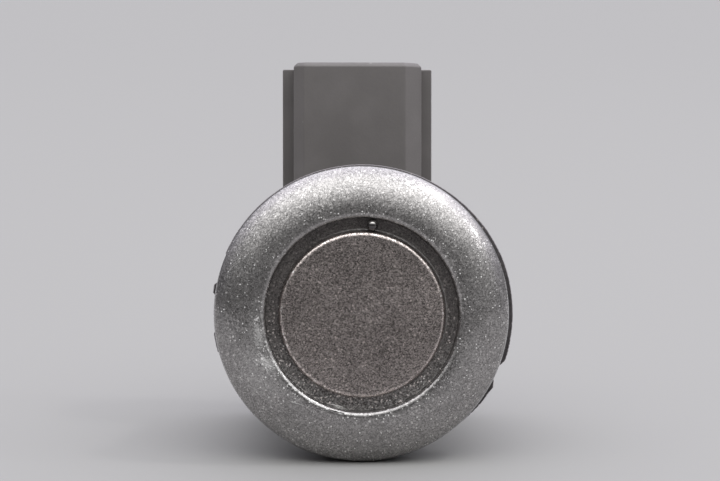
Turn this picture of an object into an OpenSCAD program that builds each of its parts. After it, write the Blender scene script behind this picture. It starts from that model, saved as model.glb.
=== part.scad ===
// Ultrasonic parking sensor for a car's bumper.
// A painted trim bezel surrounds the painted face of an aluminium pot. Behind it a moulded body holds the
// transducer, the driver board and a three-way connector that points straight up.
// Sound leaves along -Y, +Z is up, and the origin is on the sensor's axis in the plane where the bezel seats.

/* [Transducer] */
// Outer diameter of the aluminium pot, whose face is the round disc in the middle
pot_d = 14; // [12:0.1:18]
// Length of the pot from its face to its open back
pot_len = 9; // [8:0.1:12]
// Edge radius round the pot's face
pot_edge_r = 0.45; // [0.2:0.05:0.7]
// Thickness of the sounding face
membrane_t = 0.7; // [0.5:0.05:1.2]
// Long way of the oblong hollow in the pot, which stands upright
hollow_long = 11; // [10:0.1:11.6]
// Short way of the oblong hollow in the pot
hollow_short = 7.6; // [7.2:0.1:9]
// Radial height of the collar that locks the pot in its soft ring
collar_h = 0.4; // [0.2:0.05:0.8]
// Length of that collar
collar_len = 2; // [1:0.1:3]
// Diameter of the piezo disc
piezo_d = 6.6; // [5:0.1:7]
// Thickness of the piezo disc
piezo_t = 0.5; // [0.3:0.05:1]
// Thickness of the foam pad behind the piezo disc
pad_t = 2; // [1:0.1:3]
// Diameter of the two leads
lead_d = 0.5; // [0.3:0.05:0.8]

/* [Soft ring] */
// Width of the open groove between the disc and the bezel
groove_w = 1.15; // [0.8:0.05:1.6]
// Depth of that groove below the bezel's crown
groove_depth = 1.3; // [0.9:0.05:1.8]
// Wall of the soft ring round the pot
sleeve_t = 1.9; // [1.7:0.05:3]
// Thickness of the soft ring's floor behind the pot
sleeve_floor_t = 0.8; // [0.5:0.05:1.5]
// Diameter of the round-ended locating nub on the groove's floor
nub_d = 0.94; // [0.5:0.02:1]
// Height of that nub
nub_h = 1.1; // [0.5:0.05:1.2]
// Place of the nub, in degrees clockwise from the top as seen from the front
nub_turn = 6.6; // [-30:0.1:30]

/* [Trim bezel] */
// How far the disc sits below the bezel's crown
disc_inset = 0.25; // [0:0.05:0.6]
// Step from the groove's floor down to the soft ring's shoulder
lip_step = 0.4; // [0.2:0.05:0.8]
// Edge radius at the bezel's inner lip
lip_fillet = 0.4; // [0.2:0.05:0.6]
// Slope that the dome has reached where it turns into the rim, in degrees
dome_angle = 46; // [35:1:60]
// Radius of the rim
rim_r = 0.9; // [0.5:0.05:1.3]
// Straight height of the rim above the seat
rim_wall_h = 1.15; // [0.6:0.05:2]
// Wall of the skirt that reaches into the bumper's hole
skirt_t = 0.8; // [0.7:0.05:1.2]
// Width of the ring-shaped seat outside the skirt
seat_w = 1.3; // [1.1:0.05:2.5]

/* [Seal and bumper] */
// Thickness of the seal between the bezel and the bumper
gasket_t = 0.8; // [0.4:0.05:1.5]
// Thickness of the bumper skin that the sensor clips into
skin_t = 2.6; // [2:0.1:4]

/* [Body] */
// Wall of the round body
body_wall = 1.35; // [1.2:0.05:2.5]
// Thickness of the wall between transducer and electronics
partition_t = 1.2; // [0.8:0.1:2]
// Space for the parts in front of the circuit board
bay_len = 7.2; // [6.2:0.1:10]
// Thickness of the resin behind the circuit board
potting_t = 1.6; // [1.2:0.1:3]
// Thickness of the rear cover
cover_t = 1.2; // [0.8:0.1:2]
// Width of the snap arms
arm_w = 5; // [3:0.1:7]
// Thickness of the snap arms at the catch
arm_t = 1; // [0.8:0.05:1.4]
// Room for each snap arm to bend inwards
arm_gap = 0.7; // [0.5:0.05:1]
// Free length of the snap arms
arm_len = 6.6; // [5:0.1:8]

/* [Connector] */
// Sideways offset of the connector from the sensor's axis
tower_shift = 0; // [-1:0.1:1]
// Width of the connector's hollow
socket_w = 8.9; // [8.4:0.1:11]
// Depth of the connector's hollow, front to back
socket_d = 5.8; // [5:0.1:7]
// Height of the connector's hollow
socket_h = 11.8; // [9:0.1:14]
// Wall at the connector's sides
tower_wall = 1.3; // [1:0.05:1.8]
// Floor under the connector's hollow
socket_floor_t = 1.2; // [0.8:0.05:2]
// Bevel on the connector's left front corner, as seen from the front
tower_bevel = 0.9; // [0.5:0.05:1.3]
// Larger bevel on its right front corner, which shows which way round the plug goes
key_bevel = 1.5; // [1:0.05:1.7]
// How far the guide rails stand out from the connector's sides
rail_h = 1; // [0.5:0.05:1.5]
// Width of the guide rails
rail_w = 2.6; // [1.5:0.1:3]
// Pitch of the three terminals
pin_pitch = 2.5; // [2:0.05:3]
// Width of a square terminal
pin_w = 0.64; // [0.5:0.02:0.8]
// Length of a terminal in the connector
pin_len = 6.6; // [5:0.1:7.2]

/* [Electronics] */
// Diameter of the circuit board
board_d = 17.7; // [17.2:0.1:22]
// Thickness of the circuit board
board_t = 1; // [0.8:0.1:1.6]
// Width of the ledge that the circuit board rests on
ledge_w = 0.65; // [0.4:0.05:0.8]

/* [Hidden] */
$fn = 96;

// Clearances
lip_gap = 0.08;      // soft ring inside the bezel's lip
bore_gap = 0.05;     // soft ring in the body, seal on the skirt
snap_gap = 0.1;      // bezel on the body, board and cover in the body
cut = 0.5;           // how far a cutting shape runs past the face it opens

// Radii, worked out from the pot outwards
pot_r = pot_d / 2;
lip_r = pot_r + groove_w;
crown_r = lip_r + lip_fillet;
sleeve_r = pot_r + sleeve_t;
board_r = board_d / 2;
bore_r = sleeve_r + bore_gap;
board_bore_r = board_r + snap_gap;
bay_r = board_r - ledge_w;
body_r = max(bore_r, board_bore_r) + body_wall;
pocket_r = body_r + snap_gap;
skirt_r = pocket_r + skirt_t;
bezel_r = skirt_r + seat_w;
dome_r = rim_r + (bezel_r - rim_r - crown_r) / sin(dome_angle);
bezel_h = rim_wall_h + rim_r + (dome_r - rim_r) * (1 - cos(dome_angle));

// Places along the axis, from the front to the back
crown_y = -bezel_h;
pot_y = crown_y + disc_inset;
groove_y = crown_y + groove_depth;
pocket_y = groove_y + lip_step;
hollow_y = pot_y + membrane_t;
piezo_back_y = hollow_y + piezo_t;
pad_back_y = piezo_back_y + pad_t;
pot_back_y = pot_y + pot_len;
sleeve_back_y = pot_back_y + sleeve_floor_t;
bay_y = sleeve_back_y + partition_t;
board_y = bay_y + bay_len;
board_back_y = board_y + board_t;
cover_y = board_back_y + potting_t;
back_y = cover_y + cover_t;
catch_y = gasket_t + skin_t + snap_gap;
skirt_end_y = 0.75 * catch_y;

// Snap bead that holds the bezel on the body
bead_h = 0.3;
bead_w = 0.9;
bead_y = skirt_end_y - bead_w;

// Hole in the soft ring's floor, which lets the leads through
sleeve_hole_r = hollow_long / 2 + 0.3;

// Stretches of the seal's torn edge that still show past the bezel: from, to (degrees) and overhang
gasket_overhang = [[-21, 30, 0.5], [28, 62, 0.38], [60, 158, 0.18], [-42, -30, 0.36], [168, 173, 0.28],
    [187, 196, 0.2]];
gasket_inset = 0.15; // how far the torn seal lies inside the bezel's edge elsewhere

// Connector
pin_y = board_y - 1.5;
socket_floor_z = board_bore_r + socket_floor_t;
tower_top_z = socket_floor_z + socket_h;
tower_w = socket_w + 2 * tower_wall;
tower_front_y = pin_y - socket_d / 2 - tower_wall;
tower_back_y = pin_y + socket_d / 2 + tower_wall;
tower_back_bevel = 0.6;
tower_root_z = bay_r * 0.6;
rail_drop = 0.5;      // the rails end this far below the mouth
mouth_bevel = 0.2;
top_bevel = 0.35;     // outer edge of the mouth
back_edge = 0.4;      // rear edge of the body
key_w = 1.6;          // key slot in the hollow's front wall
key_depth = 0.6;
lock_w = 4.4;         // lock nose on the back, for the plug's latch
lock_out = 1;
lock_len = 2.4;
lock_drop = 2.2;
gusset_t = 1;
gusset_spread = 5.6;
gusset_z = bezel_r - 0.8;
gusset_run = 2.4;
part_gap = 0.5;       // room between the drum's wall and what stands on the board
pin_reach = abs(tower_shift) + pin_pitch + pin_w / 2;
pin_z = sqrt(bay_r * bay_r - pin_reach * pin_reach) - pin_w / 2 - part_gap;
pin_tail = 0.8;
pin_tip = 0.8;
key_rib_w = 2;        // rib under the body that keys the sensor against turning
key_rib_h = 0.5;

// Leads: side, height at the pot, height at the board
lead_x = 0.7;
live_z = 1.6;
ground_z = -4.4;
lead_tail = 0.5;
live_points = [[0, piezo_back_y, live_z], [0, bay_y + 1.5, live_z], [lead_x, board_y - 1.5, live_z],
    [lead_x, board_back_y + lead_tail, live_z]];
ground_points = [[0, hollow_y, ground_z], [0, bay_y + 1.5, ground_z], [lead_x, board_y - 1.5, ground_z],
    [lead_x, board_back_y + lead_tail, ground_z]];

// Parts on the front of the board
transformer_side = 5;
transformer_base_t = 0.8;
drum_r = 2;
drum_flange_t = 0.5;
drum_post_r = 0.85;
drum_h = 3.4;
shield_gap = 0.15;
shield_t = 0.35;
chip_size = [4.4, 3.6, 1.4];
chip_stand = 0.1;
chip_lead_w = 0.4;
chip_lead_t = 0.2;
chip_lead_out = 1;
chip_lead_pitch = 1.1;
can_r = 1.5;
can_h = 5.2;
can_base_t = 0.5;
ceramic_size = [2, 1.25, 0.9];
resistor_size = [1.6, 0.8, 0.45];

// Their middles, most of them set in from the drum's wall: a turn from +X towards +Z, and the part's size
function by_wall(turn, size) = (bay_r - part_gap - norm([size[0], size[1]]) / 2) * [cos(turn), sin(turn)];
transformer_at = by_wall(212, [transformer_side, transformer_side]);
chip_at = by_wall(9, [chip_size[0], chip_size[1] + 2 * chip_lead_out]);
can_at = by_wall(-57, [2 * can_r, 2 * can_r]);
ceramic_at = [by_wall(-97, ceramic_size), by_wall(147, ceramic_size), by_wall(49, ceramic_size), [-1.6, 2.6]];
resistor_row_z = pin_z - 1.2;
resistor_at = [by_wall(165, resistor_size), [-2.8, resistor_row_z], [-0.6, resistor_row_z], [1.6, resistor_row_z]];

// Holes and solder
pin_hole_r = 0.55;
lead_hole_r = 0.35;
pin_solder_r = 0.9;
lead_solder_r = 0.6;
pin_solder_h = 0.6;
lead_solder_h = 0.4;

// Colours
paint = [0.36, 0.34, 0.34];
black_plastic = [0.1, 0.1, 0.1];
silicone = [0.22, 0.2, 0.2];
seal_rubber = [0.13, 0.1, 0.1];
aluminium = [0.42, 0.4, 0.39];
tin = [0.78, 0.78, 0.76];

// Points on an arc of a profile, from angle a0 to a1
function arc(centre, r, a0, a1, steps) =
    [for (i = [0:steps]) let (a = a0 + (a1 - a0) * i / steps) centre + r * [cos(a), sin(a)]];

// Turns a shape drawn round +Z so that its axis runs rearwards along +Y
module along_axis() {
    rotate([-90, 0, 0]) children();
}

// A round solid about the sensor's axis, from a profile of [radius, y] points
module turned(points) {
    along_axis() rotate_extrude() polygon(points);
}

// A plain round of radius r between two places on the axis
module round_between(r, y0, y1) {
    translate([0, y0, 0]) along_axis() cylinder(r = r, h = y1 - y0);
}

// Part of a ring, from view angle a0 to a1, counted anticlockwise from +X as seen from the front
module ring_sector(r0, r1, y0, y1, a0, a1) {
    along_axis() rotate([0, 0, -a1]) rotate_extrude(angle = a1 - a0)
        polygon([[r0, y0], [r1, y0], [r1, y1], [r0, y1]]);
}

// Stands a part on the front of the board: its height then runs towards the front
module on_board(at) {
    translate([at[0], board_y, at[1]]) rotate([90, 0, 0]) children();
}

// Stands a part on the back of the board
module behind_board(at) {
    translate([at[0], board_back_y, at[1]]) rotate([-90, 0, 0]) children();
}

// Painted ring with a domed front, an inner lip over the soft ring and a skirt that snaps on the body
module trim_bezel() {
    dome_centre = [crown_r, crown_y + dome_r];
    rim_centre = [bezel_r - rim_r, -rim_wall_h];
    lip_centre = [crown_r, crown_y + lip_fillet];
    turn_angle = dome_angle - 90;
    edge = 0.2;
    color(paint) turned(concat(
        [[lip_r, pocket_y]],
        arc(lip_centre, lip_fillet, 180, 270, 8),
        arc(dome_centre, dome_r, -90, turn_angle, 20),
        arc(rim_centre, rim_r, turn_angle, 0, 12),
        [[bezel_r, -edge], [bezel_r - edge, 0], [skirt_r, 0]],
        [[skirt_r, skirt_end_y - edge], [skirt_r - edge, skirt_end_y], [pocket_r + edge, skirt_end_y],
            [pocket_r, skirt_end_y - edge]],
        bead_profile(pocket_r, snap_gap),
        [[pocket_r, pocket_y]]));
}

// Four points of the snap bead or of its groove, from the back forwards
function bead_profile(r, gap) = let (half = bead_w / 2 + gap) [[r, bead_y + half],
    [r + bead_h, bead_y + half - bead_h], [r + bead_h, bead_y - half + bead_h], [r, bead_y - half]];

// Thin seal behind the bezel. Its outer edge is torn, and only some stretches still show past the bezel
module bezel_gasket() {
    inner_r = skirt_r + bore_gap;
    outer_r = bezel_r - gasket_inset;
    color(seal_rubber) union() {
        turned([[inner_r, 0], [outer_r, 0], [outer_r, gasket_t], [inner_r, gasket_t]]);
        for (s = gasket_overhang) ring_sector(outer_r - cut / 2, bezel_r + s[2], 0, gasket_t, s[0], s[1]);
    }
}

// Oblong hollow of the pot, standing upright, drawn between two places on the axis
module oblong(long, short, y0, y1) {
    intersection() {
        round_between(long / 2, y0, y1);
        translate([-short / 2, y0 - cut, -long]) cube([short, y1 - y0 + 2 * cut, 2 * long]);
    }
}

// Deep-drawn cup whose front face sounds
module membrane_pot() {
    collar_y = pot_back_y - collar_len;
    color(aluminium) difference() {
        turned(concat(
            [[0, pot_y]],
            arc([pot_r - pot_edge_r, pot_y + pot_edge_r], pot_edge_r, -90, 0, 8),
            [[pot_r, collar_y], [pot_r + collar_h, collar_y], [pot_r + collar_h, pot_back_y], [0, pot_back_y]]));
        oblong(hollow_long, hollow_short, hollow_y, pot_back_y + cut);
    }
}

// Soft ring that holds the pot and shows as the groove round the disc
module decoupling_ring() {
    collar_y = pot_back_y - collar_len;
    collar_r = pot_r + collar_h;
    nub_at = (pot_r + lip_r - lip_gap) / 2;
    color(silicone) union() {
        turned([[pot_r, groove_y], [lip_r - lip_gap, groove_y], [lip_r - lip_gap, pocket_y], [sleeve_r, pocket_y],
            [sleeve_r, sleeve_back_y], [sleeve_hole_r, sleeve_back_y], [sleeve_hole_r, pot_back_y],
            [collar_r, pot_back_y], [collar_r, collar_y], [pot_r, collar_y]]);
        translate([nub_at * sin(nub_turn), groove_y - nub_h, nub_at * cos(nub_turn)]) nub();
    }
}

// Short pin with a round end, rooted in the soft ring
module nub() {
    root = 0.2;
    r = min(nub_d, groove_w - lip_gap - bore_gap) / 2;
    end = arc([0, r], r, -70, 0, 7);
    turned(concat([[0, end[0][1]]], end, [[r, nub_h + root], [0, nub_h + root]]));
}

// Ceramic disc glued to the inside of the sounding face
module piezo_disc() {
    color([0.85, 0.8, 0.62]) round_between(piezo_d / 2, hollow_y, piezo_back_y);
}

// Foam that damps the face from behind, with holes for the leads
module damping_pad() {
    color([0.55, 0.55, 0.5]) difference() {
        oblong(hollow_long - 2 * bore_gap, hollow_short - 2 * bore_gap, piezo_back_y, pad_back_y);
        lead_holes(piezo_back_y - cut, pad_back_y + cut);
    }
}

// Cast silicone that closes the back of the pot
module pot_seal() {
    color([0.75, 0.74, 0.7]) difference() {
        oblong(hollow_long - 2 * bore_gap, hollow_short - 2 * bore_gap, pad_back_y, pot_back_y);
        lead_holes(pad_back_y - cut, pot_back_y + cut);
    }
}

// Round holes for both leads between two places on the axis
module lead_holes(y0, y1) {
    for (z = [live_z, ground_z]) translate([0, 0, z]) round_between(lead_d / 2 + bore_gap, y0, y1);
}

// Wire along a few points, as straight lengths that run slightly past each bend
module wire(points) {
    last = len(points) - 2;
    for (i = [0:last]) {
        run = points[i + 1] - points[i];
        past = i < last ? lead_d / 10 : 0;
        translate(points[i]) rotate([0, acos(run[2] / norm(run)), atan2(run[1], run[0])])
            cylinder(d = lead_d, h = norm(run) + past);
    }
}

module live_lead() {
    color([0.75, 0.1, 0.08]) union() wire(live_points);
}

module ground_lead() {
    color([0.12, 0.12, 0.12]) union() wire(ground_points);
}

// Moulded body: barrel, electronics drum, connector, snap arms and ribs in one piece
module housing() {
    color(black_plastic) difference() {
        union() {
            turned(concat([[0, pocket_y], [body_r, pocket_y]],
                [for (i = [3:-1:0]) bead_profile(body_r, 0)[i]],
                [[body_r, back_y - back_edge], [body_r - back_edge, back_y], [0, back_y]]));
            tower();
            for (side = [0, 1]) mirror([side, 0, 0]) snap_arm();
            key_rib();
        }
        round_between(bore_r, pocket_y - cut, sleeve_back_y);
        round_between(bay_r, bay_y, board_y + cut);
        round_between(board_bore_r, board_y, back_y + cut);
        lead_holes(sleeve_back_y - cut, bay_y + cut);
        socket();
        for (i = [-1:1]) terminal_slot(i);
    }
}

// Outline of the connector seen from above, with bevelled corners, set in by a bevel's width at the mouth
function tower_outline(inset) =
    let (half = tower_w / 2 - inset, front = tower_front_y + inset, back = tower_back_y - inset,
        corner = inset * (2 - sqrt(2)), left = tower_bevel - corner, right = key_bevel - corner,
        rear = tower_back_bevel - corner)
    [[left - half, front], [half - right, front], [half, front + right], [half, back - rear],
        [half - rear, back], [rear - half, back], [-half, back - rear], [-half, front + left]];

// Outside of the connector, with its rails, lock nose and gussets
module tower() {
    half = tower_w / 2;
    shoulder_z = tower_top_z - top_bevel;
    thin = 0.01;
    translate([tower_shift, 0, tower_root_z]) linear_extrude(shoulder_z - tower_root_z) polygon(tower_outline(0));
    hull() {
        translate([tower_shift, 0, shoulder_z - thin]) linear_extrude(thin) polygon(tower_outline(0));
        translate([tower_shift, 0, tower_top_z - thin]) linear_extrude(thin) polygon(tower_outline(top_bevel));
    }
    translate([tower_shift - half - rail_h, pin_y - rail_w / 2, tower_root_z])
        cube([tower_w + 2 * rail_h, rail_w, tower_top_z - rail_drop - tower_root_z]);
    lock_nose();
    for (side = [-1, 1]) gusset(tower_shift + side * gusset_spread / 2);
}

// Wedge on the back of the connector that the plug's latch snaps over
module lock_nose() {
    top = tower_top_z - lock_drop;
    translate([tower_shift - lock_w / 2, 0, 0]) rotate([90, 0, 90]) linear_extrude(lock_w)
        polygon([[tower_back_y - cut, top], [tower_back_y, top], [tower_back_y + lock_out, top - lock_len + cut],
            [tower_back_y + lock_out, top - lock_len], [tower_back_y - cut, top - lock_len]]);
}

// Triangular stiffener between the body and the front of the connector
module gusset(x) {
    translate([x - gusset_t / 2, 0, 0]) rotate([90, 0, 90]) linear_extrude(gusset_t)
        polygon([[tower_front_y + cut, tower_root_z], [tower_front_y + cut, gusset_z], [tower_front_y, gusset_z],
            [tower_front_y - gusset_run, body_r - cut], [tower_front_y - gusset_run, tower_root_z]]);
}

// Hollow of the connector, with a bevelled mouth and a key slot
module socket() {
    translate([tower_shift - socket_w / 2, pin_y - socket_d / 2, socket_floor_z])
        cube([socket_w, socket_d, socket_h + cut]);
    translate([tower_shift - key_w / 2, pin_y - socket_d / 2 - key_depth, socket_floor_z + socket_h / 4])
        cube([key_w, socket_d, socket_h + cut]);
    hull() {
        translate([tower_shift, pin_y, tower_top_z - mouth_bevel]) cube([socket_w, socket_d, 0.01], center = true);
        translate([tower_shift, pin_y, tower_top_z + 0.01])
            cube([socket_w + 2 * mouth_bevel, socket_d + 2 * mouth_bevel, 0.01], center = true);
    }
}

// Passage for one terminal from the drum up into the connector
module terminal_slot(i) {
    translate([tower_shift + i * pin_pitch - pin_w / 2, pin_y - pin_w / 2, pin_z - pin_w / 2])
        cube([pin_w, pin_w, socket_floor_z - pin_z + pin_w / 2 + cut]);
}

// Springy arm at the side of the body, with a catch that sits behind the bumper skin
module snap_arm() {
    catch_x = body_r + arm_gap + arm_t;
    root_y = catch_y + arm_len;
    land = 0.7;
    sink = min(0.6, body_wall / 2);
    translate([0, 0, -arm_w / 2]) linear_extrude(arm_w)
        polygon([[catch_x - arm_t, catch_y], [catch_x, catch_y], [catch_x, catch_y + land],
            [body_r + 0.1, root_y + arm_t], [body_r - sink, root_y + arm_t], [body_r - sink, root_y - arm_t / 2],
            [body_r, root_y - arm_t / 2]]);
}

// Rib under the body that fits a notch in the bumper's hole and stops the sensor turning
module key_rib() {
    translate([-key_rib_w / 2, catch_y, -body_r - key_rib_h]) cube([key_rib_w, bay_y - catch_y, 2 * key_rib_h]);
}

// Plate that closes the electronics drum, with a shallow panel and the mark of its moulding gate
module rear_cover() {
    cover_r = board_bore_r - bore_gap;
    panel_r = cover_r - 1.6;
    panel_t = 0.3;
    edge = 0.25;
    gate_r = 0.8;
    color(black_plastic) turned([[0, cover_y], [cover_r, cover_y], [cover_r, back_y - edge], [cover_r - edge, back_y],
        [panel_r + panel_t, back_y], [panel_r, back_y - panel_t], [gate_r, back_y - panel_t],
        [gate_r, back_y - panel_t / 2], [0, back_y - panel_t / 2]]);
}

// Resin cast over the back of the board
module potting() {
    color([0.16, 0.15, 0.14]) difference() {
        round_between(board_bore_r, board_back_y, cover_y);
        for (i = [-1:1]) {
            behind_board([tower_shift + i * pin_pitch, pin_z]) solder_cone(pin_solder_r, pin_w / 2, pin_solder_h);
            terminal(i);
        }
        for (z = [live_z, ground_z])
            behind_board([lead_x, z]) solder_cone(lead_solder_r, lead_d / 2, lead_solder_h);
        wire(live_points);
        wire(ground_points);
    }
}

// Round circuit board on the drum's ledge, with plated holes
module circuit_board() {
    color([0.05, 0.3, 0.14]) difference() {
        round_between(board_r, board_y, board_back_y);
        for (i = [-1:1]) translate([tower_shift + i * pin_pitch, 0, pin_z])
            round_between(pin_hole_r, board_y - cut, board_back_y + cut);
        for (z = [live_z, ground_z]) translate([lead_x, 0, z])
            round_between(lead_hole_r, board_y - cut, board_back_y + cut);
    }
}

// Driver circuit in a flat moulded package
module driver_chip() {
    color([0.09, 0.09, 0.1]) on_board(chip_at) translate([0, 0, chip_stand + chip_size[2] / 2])
        cube(chip_size, center = true);
}

// Its gull-wing leads, four along each long edge
module driver_chip_pins() {
    mid = chip_stand + chip_size[2] / 2;
    half = chip_size[1] / 2;
    foot = 0.5;
    color(tin) on_board(chip_at) for (side = [0, 1]) mirror([0, side, 0]) for (i = [-1.5:1:1.5])
        translate([i * chip_lead_pitch - chip_lead_w / 2, 0, 0]) rotate([90, 0, 90]) linear_extrude(chip_lead_w)
            polygon([[half, mid], [half, mid - chip_lead_t], [half + chip_lead_out - foot - chip_lead_t, mid - chip_lead_t],
                [half + chip_lead_out - foot - chip_lead_t, 0], [half + chip_lead_out, 0],
                [half + chip_lead_out, chip_lead_t], [half + chip_lead_out - foot, chip_lead_t],
                [half + chip_lead_out - foot, mid]]);
}

// Moulded foot of the transformer
module transformer_base() {
    color([0.2, 0.18, 0.16]) on_board(transformer_at) translate([0, 0, transformer_base_t / 2])
        cube([transformer_side, transformer_side, transformer_base_t], center = true);
}

// Ferrite drum that carries the winding
module transformer_core() {
    color([0.28, 0.28, 0.3]) on_board(transformer_at) translate([0, 0, transformer_base_t]) rotate_extrude()
        polygon([[0, 0], [drum_r, 0], [drum_r, drum_flange_t], [drum_post_r, drum_flange_t],
            [drum_post_r, drum_h - drum_flange_t], [drum_r, drum_h - drum_flange_t], [drum_r, drum_h], [0, drum_h]]);
}

// Copper winding on the drum's post
module transformer_winding() {
    wound_r = drum_r - 0.2;
    color([0.72, 0.4, 0.16]) on_board(transformer_at) translate([0, 0, transformer_base_t + drum_flange_t])
        difference() {
            cylinder(r = wound_r, h = drum_h - 2 * drum_flange_t);
            translate([0, 0, -cut]) cylinder(r = drum_post_r, h = drum_h);
        }
}

// Ferrite ring round the drum that keeps its field in
module transformer_shield() {
    inner_r = drum_r + shield_gap;
    color([0.24, 0.24, 0.26]) on_board(transformer_at) translate([0, 0, transformer_base_t]) difference() {
        cylinder(r = inner_r + shield_t, h = drum_h);
        translate([0, 0, -cut]) cylinder(r = inner_r, h = drum_h + 2 * cut);
    }
}

// Upright capacitor can on its square foot
module storage_capacitor() {
    color([0.72, 0.72, 0.74]) on_board(can_at) union() {
        translate([0, 0, can_base_t / 2]) cube([2 * can_r, 2 * can_r, can_base_t], center = true);
        cylinder(r = can_r, h = can_h);
    }
}

// Small blocks of one size, each standing on the board
module chips(places, size) {
    for (p = places) on_board(p) translate([0, 0, size[2] / 2]) cube(size, center = true);
}

module ceramic_capacitors() {
    color([0.62, 0.48, 0.32]) chips(ceramic_at, ceramic_size);
}

module resistors() {
    color([0.1, 0.1, 0.12]) chips(resistor_at, resistor_size);
}

// One bent terminal: i is -1, 0 or 1 across the connector
module terminal(i) {
    top = socket_floor_z + pin_len;
    x = tower_shift + i * pin_pitch;
    translate([x - pin_w / 2, pin_y - pin_w / 2, pin_z - pin_w / 2])
        cube([pin_w, board_back_y + pin_tail - pin_y + pin_w / 2, pin_w]);
    translate([x - pin_w / 2, pin_y - pin_w / 2, pin_z - pin_w / 2])
        cube([pin_w, pin_w, top - pin_tip - pin_z + pin_w / 2]);
    translate([x, pin_y, top - pin_tip]) linear_extrude(pin_tip, scale = 0.4) square(pin_w, center = true);
}

module terminal_supply() {
    color(tin) union() terminal(-1);
}

module terminal_signal() {
    color(tin) union() terminal(0);
}

module terminal_ground() {
    color(tin) union() terminal(1);
}

// Cone of solder that stands on the board's back round a pin of half-width r
module solder_cone(foot_r, r, h) {
    cylinder(r1 = foot_r, r2 = r + 0.15, h = h);
}

// Solder on the three terminals and the two leads
module solder_joints() {
    color([0.7, 0.7, 0.72]) {
        for (i = [-1:1]) difference() {
            behind_board([tower_shift + i * pin_pitch, pin_z]) solder_cone(pin_solder_r, pin_w / 2, pin_solder_h);
            terminal(i);
        }
        for (z = [live_z, ground_z]) difference() {
            behind_board([lead_x, z]) solder_cone(lead_solder_r, lead_d / 2, lead_solder_h);
            translate([lead_x, 0, z]) round_between(lead_d / 2, board_y, cover_y);
        }
    }
}

trim_bezel();
bezel_gasket();
membrane_pot();
decoupling_ring();
piezo_disc();
damping_pad();
pot_seal();
live_lead();
ground_lead();
housing();
rear_cover();
potting();
circuit_board();
driver_chip();
driver_chip_pins();
transformer_base();
transformer_core();
transformer_winding();
transformer_shield();
storage_capacitor();
ceramic_capacitors();
resistors();
terminal_supply();
terminal_signal();
terminal_ground();
solder_joints();
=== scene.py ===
# %% [markdown]
# # A parking sensor in a car's colour
#
# An ultrasonic parking sensor sits in a hole in a bumper. From the front it is a domed ring round a
# flat disc, both sprayed with the car's own metallic paint. Behind the ring hides a black moulded body
# with a plug socket.
#
# The solids come from the CAD model, which is loaded as a fixed frame. This lesson gives the visible
# pieces their fine edges and every surface its finish.

# %% Load the frame
import math

import bmesh
import bpy
from mathutils import Matrix, Vector, noise


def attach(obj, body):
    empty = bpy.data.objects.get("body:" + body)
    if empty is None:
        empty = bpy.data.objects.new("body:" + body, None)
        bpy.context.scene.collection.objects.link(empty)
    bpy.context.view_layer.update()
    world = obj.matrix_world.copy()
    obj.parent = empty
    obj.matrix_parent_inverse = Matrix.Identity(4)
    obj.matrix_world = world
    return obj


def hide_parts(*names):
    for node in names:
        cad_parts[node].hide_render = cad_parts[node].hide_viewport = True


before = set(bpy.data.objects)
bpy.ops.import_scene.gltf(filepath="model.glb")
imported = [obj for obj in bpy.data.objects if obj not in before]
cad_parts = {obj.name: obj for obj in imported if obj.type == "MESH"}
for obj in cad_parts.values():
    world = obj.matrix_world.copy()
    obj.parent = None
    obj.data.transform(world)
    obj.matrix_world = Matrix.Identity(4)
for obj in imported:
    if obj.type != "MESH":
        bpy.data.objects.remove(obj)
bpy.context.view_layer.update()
scene = bpy.context.scene
scene.view_settings.view_transform = "Standard"
MM = 0.001
print("CAD nodes:", len(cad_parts))

# %% [markdown]
# ## Camera
#
# The camera looks at the sensor's face from a little to the left and a little above its axis. A long
# lens could be guessed by eye, but the distance and the lens follow from how much smaller the plug
# socket looks than it is, so they are set as numbers: 180 mm from the face, with a lens of about 107
# mm.

# %% Camera
IMAGE_W, IMAGE_H = 720, 481
FACE_AT_PX = (362.3, 314.9)
LENS_PX = 2150
FILM_W = 36
FACE = Vector((0, -3.2, 0)) * MM
CAMERA_AWAY = 180 * MM
CAMERA_TURN, CAMERA_RISE = math.radians(-1.7), math.radians(3.0)
NEAREST, FARTHEST = 0.01, 10


def add_camera():
    level = math.cos(CAMERA_RISE)
    towards = Vector((math.sin(CAMERA_TURN) * level, -math.cos(CAMERA_TURN) * level, math.sin(CAMERA_RISE)))
    data = bpy.data.cameras.new("camera")
    data.sensor_width = FILM_W
    data.lens = FILM_W * LENS_PX / IMAGE_W
    data.clip_start, data.clip_end = NEAREST, FARTHEST
    camera = bpy.data.objects.new("camera", data)
    scene.collection.objects.link(camera)
    camera.location = FACE + towards * CAMERA_AWAY
    straight = (-towards).to_track_quat("-Z", "Y").to_matrix()
    right, up = straight.col[0], straight.col[1]
    px = CAMERA_AWAY / LENS_PX
    aim = FACE - right * (FACE_AT_PX[0] - IMAGE_W / 2) * px + up * (FACE_AT_PX[1] - IMAGE_H / 2) * px
    camera.rotation_euler = (aim - camera.location).to_track_quat("-Z", "Y").to_euler()
    scene.camera = camera
    return camera


print("lens %.1f mm" % add_camera().data.lens)

# %% [markdown]
# ## Node helpers
#
# Every finish below is made of shader nodes. Placing and joining them by hand takes three lines a node,
# so two small helpers do it. One fills a node's sockets, each with a number or with another node's
# output. The other adds a node of a kind, with its settings, and fills it.

# %% Node helpers


def fill(tree, node, inputs):
    for key, value in inputs.items():
        if isinstance(value, bpy.types.NodeSocket):
            tree.links.new(value, node.inputs[key])
        else:
            node.inputs[key].default_value = value


def add(tree, kind, inputs, **settings):
    node = tree.nodes.new("ShaderNode" + kind)
    for key, value in settings.items():
        setattr(node, key, value)
    fill(tree, node, inputs)
    return node


print("node helpers ready")

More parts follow.
